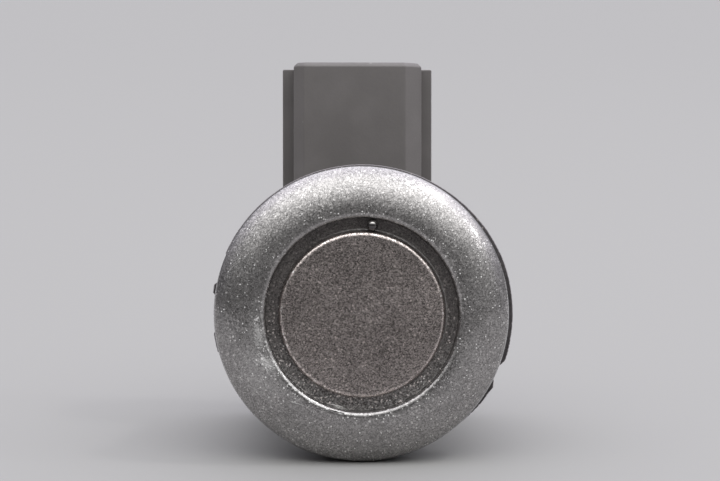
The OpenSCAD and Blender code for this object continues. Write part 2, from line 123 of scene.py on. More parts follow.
# %% [markdown]
# ## Sums and soft steps
#
# Most nodes only work out a mask: they add, multiply, or take the larger of two. A Color Ramp could
# turn a value into a mask, but a smooth Map Range does it with four plain numbers, so that is the soft
# step in these finishes.

# %% Sums and soft steps


def maths(tree, operation, a, b=0.0, clamp=False):
    return add(tree, "Math", {0: a, 1: b}, operation=operation, use_clamp=clamp).outputs[0]


def plus(tree, a, b):
    return maths(tree, "ADD", a, b)


def minus(tree, a, b):
    return maths(tree, "SUBTRACT", a, b)


def times(tree, a, b):
    return maths(tree, "MULTIPLY", a, b)


def larger(tree, a, b):
    return maths(tree, "MAXIMUM", a, b)


def ramp(tree, value, low, high, to_low=0.0, to_high=1.0):
    """A soft step from one value to another."""
    limits = {"Value": value, "From Min": low, "From Max": high, "To Min": to_low, "To Max": to_high}
    return add(tree, "MapRange", limits, interpolation_type="SMOOTHSTEP").outputs[0]


print("sums and soft steps ready")

# %% [markdown]
# ## Colours and places
#
# A finish mixes colours by a mask, and its pattern needs a place on the piece. A UV map could give it,
# but these pieces are solid turnings and mouldings, so the place in the shared frame is enough: a
# pattern runs through a piece as grain runs through wood.

# %% Colours and places


def blend(tree, amount, first, second):
    return add(tree, "Mix", {0: amount, 6: first, 7: second}, data_type="RGBA").outputs[2]


def scaled(tree, vector, factor):
    return add(tree, "VectorMath", {0: vector, "Scale": factor}, operation="SCALE").outputs[0]


def place_of(tree):
    """Where a point of the piece lies, in metres in the shared frame."""
    return add(tree, "TexCoord", {}).outputs["Object"]


def parts_of(tree, vector):
    return add(tree, "SeparateXYZ", {0: vector}).outputs


print("colours and places ready")

# %% [markdown]
# ## Groups and finishes
#
# An effect that several finishes share is a node group, built once and placed with its own numbers each
# time. A finish is a material whose shader first gets plain numbers, and then nodes for whatever
# changes over the surface, such as a bump that gives it grain.

# %% Groups and finishes


def new_group(name, ins, outs):
    group = bpy.data.node_groups.new(name, "ShaderNodeTree")
    for label, kind, value in ins:
        socket = group.interface.new_socket(label, in_out="INPUT", socket_type="NodeSocket" + kind)
        socket.default_value = value
    for label, kind in outs:
        group.interface.new_socket(label, in_out="OUTPUT", socket_type="NodeSocket" + kind)
    return group, group.nodes.new("NodeGroupInput").outputs, group.nodes.new("NodeGroupOutput")


def use_group(tree, group, inputs):
    return add(tree, "Group", inputs, node_tree=group).outputs


def new_finish(name, colour, roughness, metallic=0.0):
    material = bpy.data.materials.new(name)
    material.use_nodes = True
    tree = material.node_tree
    shader = tree.nodes["Principled BSDF"]
    fill(tree, shader, {"Base Color": (*colour, 1), "Roughness": roughness, "Metallic": metallic})
    return material, tree, shader


def bump(tree, height, strength, depth, normal=None):
    """Grain of a depth in millimetres, on the surface's own normal or on a given one."""
    node = add(tree, "Bump", {"Height": height, "Strength": strength, "Distance": depth * MM})
    if normal is not None:
        tree.links.new(normal, node.inputs["Normal"])
    return node.outputs[0]


print("group and finish helpers ready")

# %% [markdown]
# ## Floor
#
# The sensor lies on its ring and on the rear edge of its body, so the floor is a plane through both,
# slightly tilted in the sensor's own frame. It is plain pale paper, so that it draws no attention.

# %% Floor
RING_R, BODY_R = 12.5, 10.3
RING_REST_Y, BODY_REST_Y = -0.6, 18.4
FLOOR_HALF = 5.0
PAPER_TINT = (0.32, 0.317, 0.311)


def add_floor():
    tilt = math.atan2(RING_R - BODY_R, BODY_REST_Y - RING_REST_Y)
    lie = Matrix.Translation((0, RING_REST_Y * MM, -RING_R * MM)) @ Matrix.Rotation(tilt, 4, "X")
    bm = bmesh.new()
    bmesh.ops.create_grid(bm, x_segments=1, y_segments=1, size=FLOOR_HALF)
    bmesh.ops.transform(bm, matrix=lie, verts=bm.verts)
    mesh = bpy.data.meshes.new("floor")
    bm.to_mesh(mesh)
    bm.free()
    floor = bpy.data.objects.new("floor", mesh)
    scene.collection.objects.link(floor)
    paper, tree, shader = new_finish("floor_paper", PAPER_TINT, roughness=0.9)
    fill(tree, shader, {"Specular IOR Level": 0.2})
    mesh.materials.append(paper)
    return math.degrees(tilt)


print("floor tilt %.2f degrees" % add_floor())

# %% [markdown]
# ## Ceiling light
#
# Metallic paint is as bright as whatever it mirrors, so the light is a soft ceiling over a dim room: a
# sky that brightens steeply with height. The ring then glows along its top and stays dark at its sides.
# At the right the sky reaches a little lower, and overhead and behind it is dimmer and bluer, which
# tints the ring's outer rim. A lamp could stand for the ceiling, but its light would fall off across
# the floor, and the world's doesn't.

# %% Ceiling light
ROOM, CEILING = 0.06, 2.8
LOW_SKY, HIGH_SKY, SKY_POWER = 0.35, 4.15, 2.7
RIGHT_LIFT = 0.17
FRONT_LIGHT, REAR_LIGHT = (0.985, 0.99, 0.995, 1), (0.76, 0.75, 0.82, 1)
REAR_STARTS, REAR_FULL = -0.24, -0.12


def add_world():
    world = bpy.data.worlds.new("bright_ceiling")
    world.use_nodes = True
    tree = world.node_tree
    towards = parts_of(tree, add(tree, "TexCoord", {}).outputs["Generated"])
    right = times(tree, larger(tree, towards["X"], 0.0), RIGHT_LIFT)
    height = larger(tree, plus(tree, towards["Z"], right), 0.0)
    low = plus(tree, times(tree, height, LOW_SKY), ROOM)
    high = times(tree, maths(tree, "POWER", height, SKY_POWER), HIGH_SKY)
    above = maths(tree, "MINIMUM", plus(tree, low, high), CEILING)
    behind = ramp(tree, towards["Y"], REAR_STARTS, REAR_FULL)
    colour = blend(tree, behind, FRONT_LIGHT, REAR_LIGHT)
    fill(tree, tree.nodes["Background"], {"Color": colour, "Strength": above})
    scene.world = world


add_world()
print("world:", scene.world.name)

# %% [markdown]
# ## Lamps
#
# A clear coat shows each small light of a room as a glint, which the soft ceiling can't give. Bright
# spots could be painted into the sky, but lamps are easier to move, so two small ones stand at the
# upper right. They add little light besides.

# %% Lamps
LAMP_SIZE = 0.05
# place in metres and power in watts
LAMPS = {"lamp_right": ((0.32, -0.085, 0.5), 0.3), "lamp_far_right": ((0.49, -0.1, 0.32), 0.15)}


def add_lamp(name, spot, power):
    data = bpy.data.lights.new(name, "AREA")
    data.shape = "RECTANGLE"
    data.size = data.size_y = LAMP_SIZE
    data.energy = power
    lamp = bpy.data.objects.new(name, data)
    lamp.location = spot
    lamp.rotation_euler = (-Vector(spot)).to_track_quat("-Z", "Y").to_euler()
    scene.collection.objects.link(lamp)


for name, (spot, power) in LAMPS.items():
    add_lamp(name, spot, power)
print("lamps:", list(LAMPS))

# %% [markdown]
# ## Metal flakes
#
# Metallic paint holds tiny flakes of aluminium, each lying at its own slight tilt, which makes the
# surface sparkle. A noise could speckle the colour, but flakes have edges, so each cell of a Voronoi
# pattern is one flake, about a tenth of a millimetre wide. Its random colour tilts the normal and makes
# it lighter or darker, and a coarser pattern picks out a few flakes that flash.

# %% Metal flakes
COARSER = 0.6
FLASHES_ABOVE = 0.88


def make_metal_flakes():
    ins = [("Flake Size", "Float", 0.1 * MM), ("Tilt", "Float", 0.3), ("Contrast", "Float", 0.4),
           ("Flashes", "Float", 0.5)]
    tree, given, result = new_group("metal_flakes", ins, [("Shade", "Float"), ("Normal", "Vector")])
    place = place_of(tree)
    per_metre = maths(tree, "DIVIDE", 1.0, given["Flake Size"])
    fine = add(tree, "TexVoronoi", {"Vector": place, "Scale": per_metre}).outputs["Color"]
    lean = add(tree, "VectorMath", {0: fine, 1: (0.5, 0.5, 0.5)}, operation="SUBTRACT").outputs[0]
    lean = scaled(tree, lean, given["Tilt"])
    normal = add(tree, "NewGeometry", {}).outputs["Normal"]
    tilted = add(tree, "VectorMath", {0: normal, 1: lean}, operation="ADD").outputs[0]
    tilted = add(tree, "VectorMath", {0: tilted}, operation="NORMALIZE").outputs[0]
    grey = minus(tree, parts_of(tree, fine)["X"], 0.5)
    shade = plus(tree, times(tree, grey, given["Contrast"]), 1.0)
    coarse = add(tree, "TexVoronoi", {"Vector": place, "Scale": times(tree, per_metre, COARSER)})
    chance = parts_of(tree, coarse.outputs["Color"])["Y"]
    flash = times(tree, ramp(tree, chance, FLASHES_ABOVE, 1.0), given["Flashes"])
    fill(tree, result, {"Shade": plus(tree, shade, flash), "Normal": tilted})
    return tree


metal_flakes = make_metal_flakes()
print("group:", metal_flakes.name)

# %% [markdown]
# ## Dust and mottling
#
# Two more effects are shared. Dust is a scatter of small dots of different sizes: a Voronoi cell holds
# one dot, and a share of the cells keeps it. Mottling is a cloudy value that keeps a surface from
# looking freshly printed, and in a fine size it is the grain of a moulding.

# %% Dust and mottling
LARGEST_DOT, DOT_EDGE = 0.34, 0.08


def make_dust():
    ins = [("Spacing", "Float", 0.3 * MM), ("Amount", "Float", 0.3)]
    tree, given, result = new_group("dust", ins, [("Mask", "Float")])
    per_metre = maths(tree, "DIVIDE", 1.0, given["Spacing"])
    cells = add(tree, "TexVoronoi", {"Vector": place_of(tree), "Scale": per_metre}).outputs
    chance = parts_of(tree, cells["Color"])
    dot = minus(tree, times(tree, chance["X"], LARGEST_DOT), cells["Distance"])
    kept = maths(tree, "LESS_THAN", chance["Y"], given["Amount"])
    fill(tree, result, {"Mask": times(tree, ramp(tree, dot, 0.0, DOT_EDGE), kept)})
    return tree


def make_mottling():
    ins = [("Scale", "Float", 400.0), ("Detail", "Float", 4.0)]
    tree, given, result = new_group("mottling", ins, [("Value", "Float")])
    numbers = {"Vector": place_of(tree), "Scale": given["Scale"], "Detail": given["Detail"]}
    fill(tree, result, {"Value": add(tree, "TexNoise", numbers).outputs[0]})
    return tree


dust, mottling = make_dust(), make_mottling()


def dots(tree, spacing, amount):
    return use_group(tree, dust, {"Spacing": spacing * MM, "Amount": amount})["Mask"]


def clouds(tree, scale, detail):
    return use_group(tree, mottling, {"Scale": scale, "Detail": detail})["Value"]


print("groups:", dust.name, mottling.name)

# %% [markdown]
# ## Marks of wear
#
# A worn sensor has chips, scuffs and scratches. They could be drawn by hand as an image, but each is a
# stretched spot with a ragged edge, so one node group makes it from its middle, its turn and its size,
# and noise frays its edge.

# %% Marks of wear
MARK_ENDS, MARK_FULL = 0.55, 0.4


def make_mark():
    ins = [("Middle", "Vector", (0, 0, 0)), ("Turn", "Float", 0.0), ("Length", "Float", 2 * MM),
           ("Width", "Float", 0.5 * MM), ("Ragged", "Float", 0.5), ("Grain", "Float", 4000.0)]
    tree, given, result = new_group("mark", ins, [("Mask", "Float")])
    place = place_of(tree)
    away = add(tree, "VectorMath", {0: place, 1: given["Middle"]}, operation="SUBTRACT").outputs[0]
    turned = add(tree, "VectorRotate", {"Vector": away, "Angle": given["Turn"]}, rotation_type="Y_AXIS")
    parts = parts_of(tree, turned.outputs[0])
    along = maths(tree, "DIVIDE", parts["X"], given["Length"])
    across = maths(tree, "DIVIDE", parts["Z"], given["Width"])
    reach = maths(tree, "SQRT", plus(tree, times(tree, along, along), times(tree, across, across)))
    rough = add(tree, "TexNoise", {"Vector": place, "Scale": given["Grain"], "Detail": 3.0}).outputs[0]
    edge = times(tree, minus(tree, rough, 0.5), given["Ragged"])
    fill(tree, result, {"Mask": ramp(tree, plus(tree, reach, edge), MARK_ENDS, MARK_FULL)})
    return tree


mark = make_mark()
print("group:", mark.name)

# %% [markdown]
# ## Where the marks lie
#
# The ring is worn along its inner lip at the lower left, where it was scuffed, scratched and chipped,
# and the groove's floor has two scratches. Noise could scatter marks at random, but these have their
# places, so each list holds the marks of one kind. Where two of them meet, the stronger one counts.

# %% Where the marks lie
# middle (x, z), turn in degrees, half length and half width, with all lengths in millimetres
SCUFFS = [((-8.8, -0.8), 86, 2.0, 0.8), ((-8.5, -2.9), 106, 1.8, 0.9), ((-7.7, -4.6), 124, 1.8, 0.8),
          ((-6.4, -6.2), 137, 1.8, 0.4), ((-8.5, -5.3), 125, 2.2, 1.2)]
SCRATCHES = [((-5.63, -7.34), -17, 0.62, 0.03), ((-2.0, -8.12), -12, 0.7, 0.06),
             ((-8.76, -0.26), 40, 0.22, 0.07), ((-8.95, -0.4), -25, 0.2, 0.05),
             ((-8.15, -3.82), -25, 0.45, 0.05), ((-7.75, -4.22), -24, 0.5, 0.05),
             ((-8.0, -4.5), -40, 0.35, 0.035), ((-8.3, -3.5), -62, 0.3, 0.03)]
SMEARS = [((-7.95, -4.0), -40, 0.8, 0.45), ((-8.7, -1.6), 100, 0.9, 0.3)]
CHIPS = [((-2.3, -8.06), -16, 0.55, 0.06), ((-1.75, -8.2), -12, 0.3, 0.05)]
FLOOR_SCRATCHES = [((-2.1, -7.7), -13, 0.6, 0.05), ((-1.85, -7.9), -11, 0.5, 0.05)]


def place_mark(tree, middle, turn, length, width, ragged, grain):
    x, z = middle
    numbers = {"Middle": (x * MM, FACE.y, z * MM), "Turn": math.radians(turn), "Length": 2 * length * MM,
               "Width": 2 * width * MM, "Ragged": ragged, "Grain": grain}
    return use_group(tree, mark, numbers)["Mask"]


def any_mark(tree, marks, ragged, grain):
    total = place_mark(tree, *marks[0], ragged, grain)
    for numbers in marks[1:]:
        total = larger(tree, total, place_mark(tree, *numbers, ragged, grain))
    return total


print("marks on the ring:", len(SCUFFS + SCRATCHES + SMEARS + CHIPS))

# %% [markdown]
# ## Where the paint ends
#
# Sprayed paint isn't the same all over. On the ring's lip a ragged line from the left round to the
# bottom is painted pale: partly paint worn off, partly a painted highlight where the lip's curve catches
# the light. On the skirt, which nobody sees, the spray fades out. Each could be painted by hand, but each
# follows the round shape, so the distance from the sensor's axis or the place along it gives the mask.

# %% Where the paint ends
LIP_WEAR_GLINT_R, LIP_WEAR_GLINT_OUTSIDE, LIP_WEAR_GLINT_INSIDE, LIP_WEAR_GLINT_RAGGED = 8.38, 0.12, 0.04, 0.6
LIP_WEAR_GLINT_BELOW, LIP_WEAR_GLINT_LOW, LIP_WEAR_GLINT_LEFT_OF, LIP_WEAR_GLINT_LEFT = 1.5, -3, 1, -2
PAINT_FADES, PAINT_GONE, PAINT_DRIFT = -0.1, 1.2, 1.5


def off_axis(tree):
    parts = parts_of(tree, place_of(tree))
    flat = add(tree, "CombineXYZ", {"X": parts["X"], "Z": parts["Z"]}).outputs[0]
    return add(tree, "VectorMath", {0: flat}, operation="LENGTH").outputs["Value"]


# a pale line along the lower-left lip: worn paint, and a painted highlight where the lip catches light
def lip_wear_and_glint(tree):
    parts = parts_of(tree, place_of(tree))
    off = maths(tree, "ABSOLUTE", minus(tree, off_axis(tree), LIP_WEAR_GLINT_R * MM))
    rough = minus(tree, clouds(tree, scale=5000.0, detail=4.0), 0.4)
    off = plus(tree, off, times(tree, rough, LIP_WEAR_GLINT_RAGGED * MM))
    line = ramp(tree, off, LIP_WEAR_GLINT_OUTSIDE * MM, LIP_WEAR_GLINT_INSIDE * MM)
    low = ramp(tree, parts["Z"], LIP_WEAR_GLINT_BELOW * MM, LIP_WEAR_GLINT_LOW * MM)
    left = ramp(tree, parts["X"], LIP_WEAR_GLINT_LEFT_OF * MM, LIP_WEAR_GLINT_LEFT * MM)
    return times(tree, line, times(tree, low, left))


def bare_skirt(tree):
    depth = parts_of(tree, place_of(tree))["Y"]
    drift = minus(tree, clouds(tree, scale=500.0, detail=5.0), 0.5)
    depth = plus(tree, depth, times(tree, drift, PAINT_DRIFT * MM))
    return ramp(tree, depth, PAINT_FADES * MM, PAINT_GONE * MM)


print("worn lip at %.2f mm, spray gone by about %.1f mm" % (LIP_WEAR_GLINT_R, PAINT_GONE))

# %% [markdown]
# ## Paint
#
# The ring and the disc were sprayed alike: a grey base full of flakes under a thin clear coat, whose
# skin is slightly wavy, as sprayed paint is. Two separate materials could be built, but they would
# repeat each other, so one function starts both finishes and returns their layers, for wear or a thin
# edge to change.

# %% Paint
PALE_SCUFF = (0.9, 0.89, 0.87, 1)
SKIN_STRENGTH, SKIN_DEPTH = 0.08, 0.02


def start_paint(name, tint, flake_numbers, coat, roughness, grit):
    material, tree, shader = new_finish(name, tint, roughness, metallic=0.95)
    fill(tree, shader, {"Coat Weight": coat, "Coat Roughness": 0.08})
    flakes = use_group(tree, metal_flakes, flake_numbers)
    cloud = clouds(tree, scale=260.0, detail=5.0)
    shade = times(tree, flakes["Shade"], ramp(tree, cloud, 0.3, 0.7, to_low=0.92, to_high=1.06))
    layers = {
        "colour": scaled(tree, tint, shade),
        "roughness": ramp(tree, cloud, 0.25, 0.75, to_low=roughness - 0.03, to_high=roughness + 0.04),
        "grit": dots(tree, spacing=0.2, amount=grit),
        "skin": clouds(tree, scale=900.0, detail=2.0),
        "normal": flakes["Normal"],
    }
    return material, tree, shader, layers


print("paint has a skin %.2f mm deep" % SKIN_DEPTH)

# %% [markdown]
# ## Paint of the ring
#
# The ring takes the knocks: it is pale where it is rubbed, and dark where the plastic shows. Its pale lip
# line is also a painted highlight. The wear could be a second material on faces of its own, but its edges
# are finer than any face, so masks mix it into the paint. Bare plastic has neither metal nor clear coat.

# %% Paint of the ring
RING_TINT = (0.312, 0.3, 0.294)
RING_FLAKES = {"Flake Size": 0.09 * MM, "Tilt": 0.16, "Contrast": 0.85, "Flashes": 0.8}
RING_COAT, RING_ROUGHNESS, RING_GRIT = 0.8, 0.28, 0.4
BARE_PLASTIC = (0.035, 0.031, 0.03, 1)
HAZE, SCRATCHED, SMEARED, LIP_WEAR_GLINT = 0.1, 0.62, 0.4, 0.8
RING_METAL, WORN_ROUGHNESS = 0.9, 0.6
CHIP_DEPTH = 6.0


def make_ring_paint():
    material, tree, shader, layers = start_paint("sprayed_ring", RING_TINT, RING_FLAKES, RING_COAT,
                                                 RING_ROUGHNESS, RING_GRIT)
    scuff = any_mark(tree, SCUFFS, ragged=1.6, grain=1500.0)
    grit = larger(tree, layers["grit"], times(tree, dots(tree, spacing=0.38, amount=0.6), scuff))
    grit = larger(tree, grit, times(tree, any_mark(tree, SCRATCHES, ragged=1.3, grain=5000.0), SCRATCHED))
    grit = larger(tree, grit, times(tree, any_mark(tree, SMEARS, ragged=3.2, grain=9000.0), SMEARED))
    # the pale lip line: worn paint and a painted highlight
    grit = larger(tree, grit, times(tree, lip_wear_and_glint(tree), LIP_WEAR_GLINT))
    chip = any_mark(tree, CHIPS, ragged=0.8, grain=3000.0)
    bare = larger(tree, chip, bare_skirt(tree))
    damage = larger(tree, bare, grit)
    colour = blend(tree, times(tree, scuff, HAZE), layers["colour"], PALE_SCUFF)
    colour = blend(tree, grit, colour, PALE_SCUFF)
    colour = blend(tree, bare, colour, BARE_PLASTIC)
    height = minus(tree, layers["skin"], times(tree, chip, CHIP_DEPTH))
    fill(tree, shader, {
        "Base Color": colour,
        "Metallic": maths(tree, "SUBTRACT", RING_METAL, damage, clamp=True),
        "Coat Weight": times(tree, minus(tree, 1.0, bare), RING_COAT),
        "Roughness": larger(tree, layers["roughness"], times(tree, damage, WORN_ROUGHNESS)),
        "Normal": bump(tree, height, SKIN_STRENGTH, SKIN_DEPTH, layers["normal"]),
    })
    return material


ring_paint = make_ring_paint()
print("finish:", ring_paint.name)

# %% [markdown]
# ## Paint of the disc
#
# The disc's paint is duller than the ring's, and its flakes stand out more. Its tint is browner than the
# ring's, though both were sprayed alike: the brown is a painted warm reflection. On its rounded edge the
# paint ran thin, so the metal brightens it. The edge could have a finish of its own, but the change is
# gradual, so the distance from the axis gives the mask.

# %% Paint of the disc
# the browner tint is a painted warm reflection; the disc's paint is the ring's
DISC_TINT = (0.292, 0.26, 0.247)
DISC_FLAKES = {"Flake Size": 0.09 * MM, "Tilt": 0.13, "Contrast": 1.3, "Flashes": 1.1}
DISC_COAT, DISC_ROUGHNESS, DISC_GRIT = 0.25, 0.37, 0.03
THIN_STARTS, THIN_FULL = 6.6, 6.8
EDGE_BRIGHTER, EDGE_SMOOTHER = 0.9, 0.1


def thin_edge(tree):
    return ramp(tree, off_axis(tree), THIN_STARTS * MM, THIN_FULL * MM)


def make_disc_paint():
    material, tree, shader, layers = start_paint("sprayed_disc", DISC_TINT, DISC_FLAKES, DISC_COAT,
                                                 DISC_ROUGHNESS, DISC_GRIT)
    edge = thin_edge(tree)
    brighter = plus(tree, 1.0, times(tree, edge, EDGE_BRIGHTER))
    colour = scaled(tree, blend(tree, layers["grit"], layers["colour"], PALE_SCUFF), brighter)
    fill(tree, shader, {
        "Base Color": colour,
        "Roughness": minus(tree, layers["roughness"], times(tree, edge, EDGE_SMOOTHER)),
        "Normal": bump(tree, layers["skin"], SKIN_STRENGTH, SKIN_DEPTH, layers["normal"]),
    })
    return material


disc_paint = make_disc_paint()
print("finish:", disc_paint.name)

# %% [markdown]
# ## Turned pieces
#
# The ring, the disc and the soft ring are all turned shapes. Each could keep its CAD mesh, but the
# steps of that mesh would show in the paint's shine. Here a profile is drawn in the X-Y plane, with a
# vertex that is extruded for a straight stretch and spun for a round one, and the whole profile is then
# spun once round +Y.

# %% Turned pieces
TURN_STEPS = 256
SAME_POINT = 1e-7


class ProfilePen:
    """Draws a profile of radius (X) and place along the axis (Y), in millimetres."""

    def __init__(self, r, y):
        self.bm = bmesh.new()
        self.first = self.last = self.bm.verts.new((r * MM, y * MM, 0))

    def line(self, r, y):
        self.last = bmesh.ops.extrude_vert_indiv(self.bm, verts=[self.last])["verts"][0]
        self.last.co = (r * MM, y * MM, 0)
        return self

    def arc(self, r, y, degrees, steps):
        made = bmesh.ops.spin(self.bm, geom=[self.last], cent=(r * MM, y * MM, 0), axis=(0, 0, 1),
                              angle=math.radians(degrees), steps=steps, use_merge=False, use_duplicate=False)
        self.last = [v for v in made["geom_last"] if isinstance(v, bmesh.types.BMVert)][0]
        return self

    def close(self):
        self.bm.edges.new((self.last, self.first))
        return self

    def turn(self, steps=TURN_STEPS):
        bm = self.bm
        bmesh.ops.spin(bm, geom=bm.verts[:] + bm.edges[:], cent=(0, 0, 0), axis=(0, 1, 0), angle=math.tau,
                       steps=steps, use_merge=True, use_duplicate=False)
        bmesh.ops.remove_doubles(bm, verts=bm.verts, dist=SAME_POINT)
        bmesh.ops.recalc_face_normals(bm, faces=bm.faces)
        return bm


print("turned pieces have %d steps" % TURN_STEPS)

# %% [markdown]
# ## From mesh to piece
#
# A shape becomes a piece of the sensor when it has a mesh, a finish, the body that it rides on and the
# CAD node that it hides. Shading every face smooth would blur the corners, so edges that turn by more
# than an angle stay sharp.

# %% From mesh to piece


def finish_piece(name, bm, replaced, material, smooth_angle=35):
    mesh = bpy.data.meshes.new(name)
    bm.to_mesh(mesh)
    bm.free()
    mesh.shade_smooth()
    mesh.set_sharp_from_angle(angle=math.radians(smooth_angle))
    mesh.materials.append(material)
    piece = bpy.data.objects.new(name, mesh)
    scene.collection.objects.link(piece)
    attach(piece, "root")
    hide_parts(*replaced)
    print("%s: %d faces" % (name, len(mesh.polygons)))
    return piece


# %% [markdown]
# ## Painted ring
#
# The ring is a dome that runs from a small rounded lip out to a rounded rim, with a skirt behind that
# snaps on the body. Lip, dome and rim could be three pieces, but the whole section is one profile, so
# that the paint flows over it without a seam.

# %% Painted ring
LIP_R, LIP_FILLET = 8.15, 0.4
CROWN_R = LIP_R + LIP_FILLET
RIM_R, RIM_WALL = 0.9, 1.15
DOME_DEG = 46
DOME_R = RIM_R + (RING_R - RIM_R - CROWN_R) / math.sin(math.radians(DOME_DEG))
CROWN_Y = -(RIM_WALL + RIM_R + (DOME_R - RIM_R) * (1 - math.cos(math.radians(DOME_DEG))))
GROOVE_DEPTH, FLOOR_T = 1.3, 0.4
GROOVE_Y = CROWN_Y + GROOVE_DEPTH
POCKET_R, POCKET_Y = 10.4, GROOVE_Y + FLOOR_T
SKIRT_R, SKIRT_Y, CORNER_R = 11.2, 2.625, 0.2
SNAP_Y, SNAP_HALF, SNAP_DEPTH = SKIRT_Y - 0.9, 0.55, 0.3


def make_painted_ring():
    pen = ProfilePen(LIP_R, POCKET_Y)
    pen.line(LIP_R, CROWN_Y + LIP_FILLET).arc(CROWN_R, CROWN_Y + LIP_FILLET, 90, 8)
    pen.arc(CROWN_R, CROWN_Y + DOME_R, DOME_DEG, 28).arc(RING_R - RIM_R, -RIM_WALL, 90 - DOME_DEG, 14)
    pen.line(RING_R, -CORNER_R).arc(RING_R - CORNER_R, -CORNER_R, 90, 5).line(SKIRT_R, 0)
    pen.line(SKIRT_R, SKIRT_Y - CORNER_R).arc(SKIRT_R - CORNER_R, SKIRT_Y - CORNER_R, 90, 5)
    pen.line(POCKET_R + CORNER_R, SKIRT_Y).line(POCKET_R, SKIRT_Y - CORNER_R)
    pen.line(POCKET_R, SNAP_Y + SNAP_HALF)
    pen.line(POCKET_R + SNAP_DEPTH, SNAP_Y + SNAP_HALF - SNAP_DEPTH)
    pen.line(POCKET_R + SNAP_DEPTH, SNAP_Y - SNAP_HALF + SNAP_DEPTH)
    pen.line(POCKET_R, SNAP_Y - SNAP_HALF).line(POCKET_R, POCKET_Y).close()
    finish_piece("painted_ring", pen.turn(), ["trim_bezel"], ring_paint)


make_painted_ring()

# %% [markdown]
# ## Painted disc
#
# The disc is the closed end of a deep-drawn aluminium cup. Only its face and its rounded edge show, and
# a flat disc could stand for them, but the cup behind them is real, with the collar that locks it in
# and an oblong hollow. The hollow is spun round and its walls are then pushed flat at both sides.

# %% Painted disc
POT_R, POT_EDGE, POT_Y, POT_LEN = 7.0, 0.45, CROWN_Y + 0.25, 9.0
POT_BACK, COLLAR_R, COLLAR_LEN = POT_Y + POT_LEN, 7.4, 2.0
COLLAR_Y = POT_BACK - COLLAR_LEN
HOLLOW_R, HOLLOW_HALF, HOLLOW_Y = 5.5, 3.8, POT_Y + 0.7
ON_THE_WALL = 1e-6


def make_painted_disc():
    pen = ProfilePen(0, HOLLOW_Y)
    pen.line(HOLLOW_R, HOLLOW_Y).line(HOLLOW_R, POT_BACK).line(COLLAR_R, POT_BACK)
    pen.line(COLLAR_R, COLLAR_Y).line(POT_R, COLLAR_Y).line(POT_R, POT_Y + POT_EDGE)
    pen.arc(POT_R - POT_EDGE, POT_Y + POT_EDGE, -90, 10).line(0, POT_Y)
    bm = pen.turn()
    for v in bm.verts:
        if abs(math.hypot(v.co.x, v.co.z) - HOLLOW_R * MM) < ON_THE_WALL:
            v.co.x = max(-HOLLOW_HALF * MM, min(HOLLOW_HALF * MM, v.co.x))
    finish_piece("painted_disc", bm, ["membrane_pot"], disc_paint)


make_painted_disc()

# %% [markdown]
# ## Finish of the groove's floor
#
# A silicone ring holds the cup so that it can swing freely. Its front is the floor of the groove round
# the disc: dark silicone, greyed by overspray, with pale dust. Dust, a pale film and bright flakes grow
# towards the bottom. This is partly dust and partly painted light, since the lip shades the top of the
# groove and not its bottom. Beside the cup, at the upper right, a thin bright line is a painted
# highlight. Grains of dust could be small meshes, but they are too fine and too many, so masks that grow
# downwards mix the dust and the painted light into the colour.

# %% Finish of the groove's floor
CUP_RISE = 0.26
SOFT_DARK, SOFT_PALE = (0.09, 0.082, 0.08, 1), (0.14, 0.128, 0.122, 1)
SOFT_METAL = 0.45
PALE_DUST = (0.9, 0.88, 0.86, 1)
DUST_AND_LIGHT_STARTS, DUST_AND_LIGHT_FULL = 4 * MM, -6 * MM
FILM_AND_LIGHT_STARTS, FILM_AND_LIGHT_FULL = 0, -7.5 * MM
# a painted highlight: a thin bright line beside the cup, at the upper right only
CUP_EDGE_HIGHLIGHT = (0.4, 0.385, 0.375, 1)
CUP_EDGE_HIGHLIGHT_STARTS, CUP_EDGE_HIGHLIGHT_FULL = 2 * MM, 7 * MM
CUP_EDGE_HIGHLIGHT_INNER, CUP_EDGE_HIGHLIGHT_WEIGHT, CUP_EDGE_HIGHLIGHT_METAL, CUP_EDGE_HIGHLIGHT_SMOOTHER = 0.6, 0.8, 0.9, 0.2


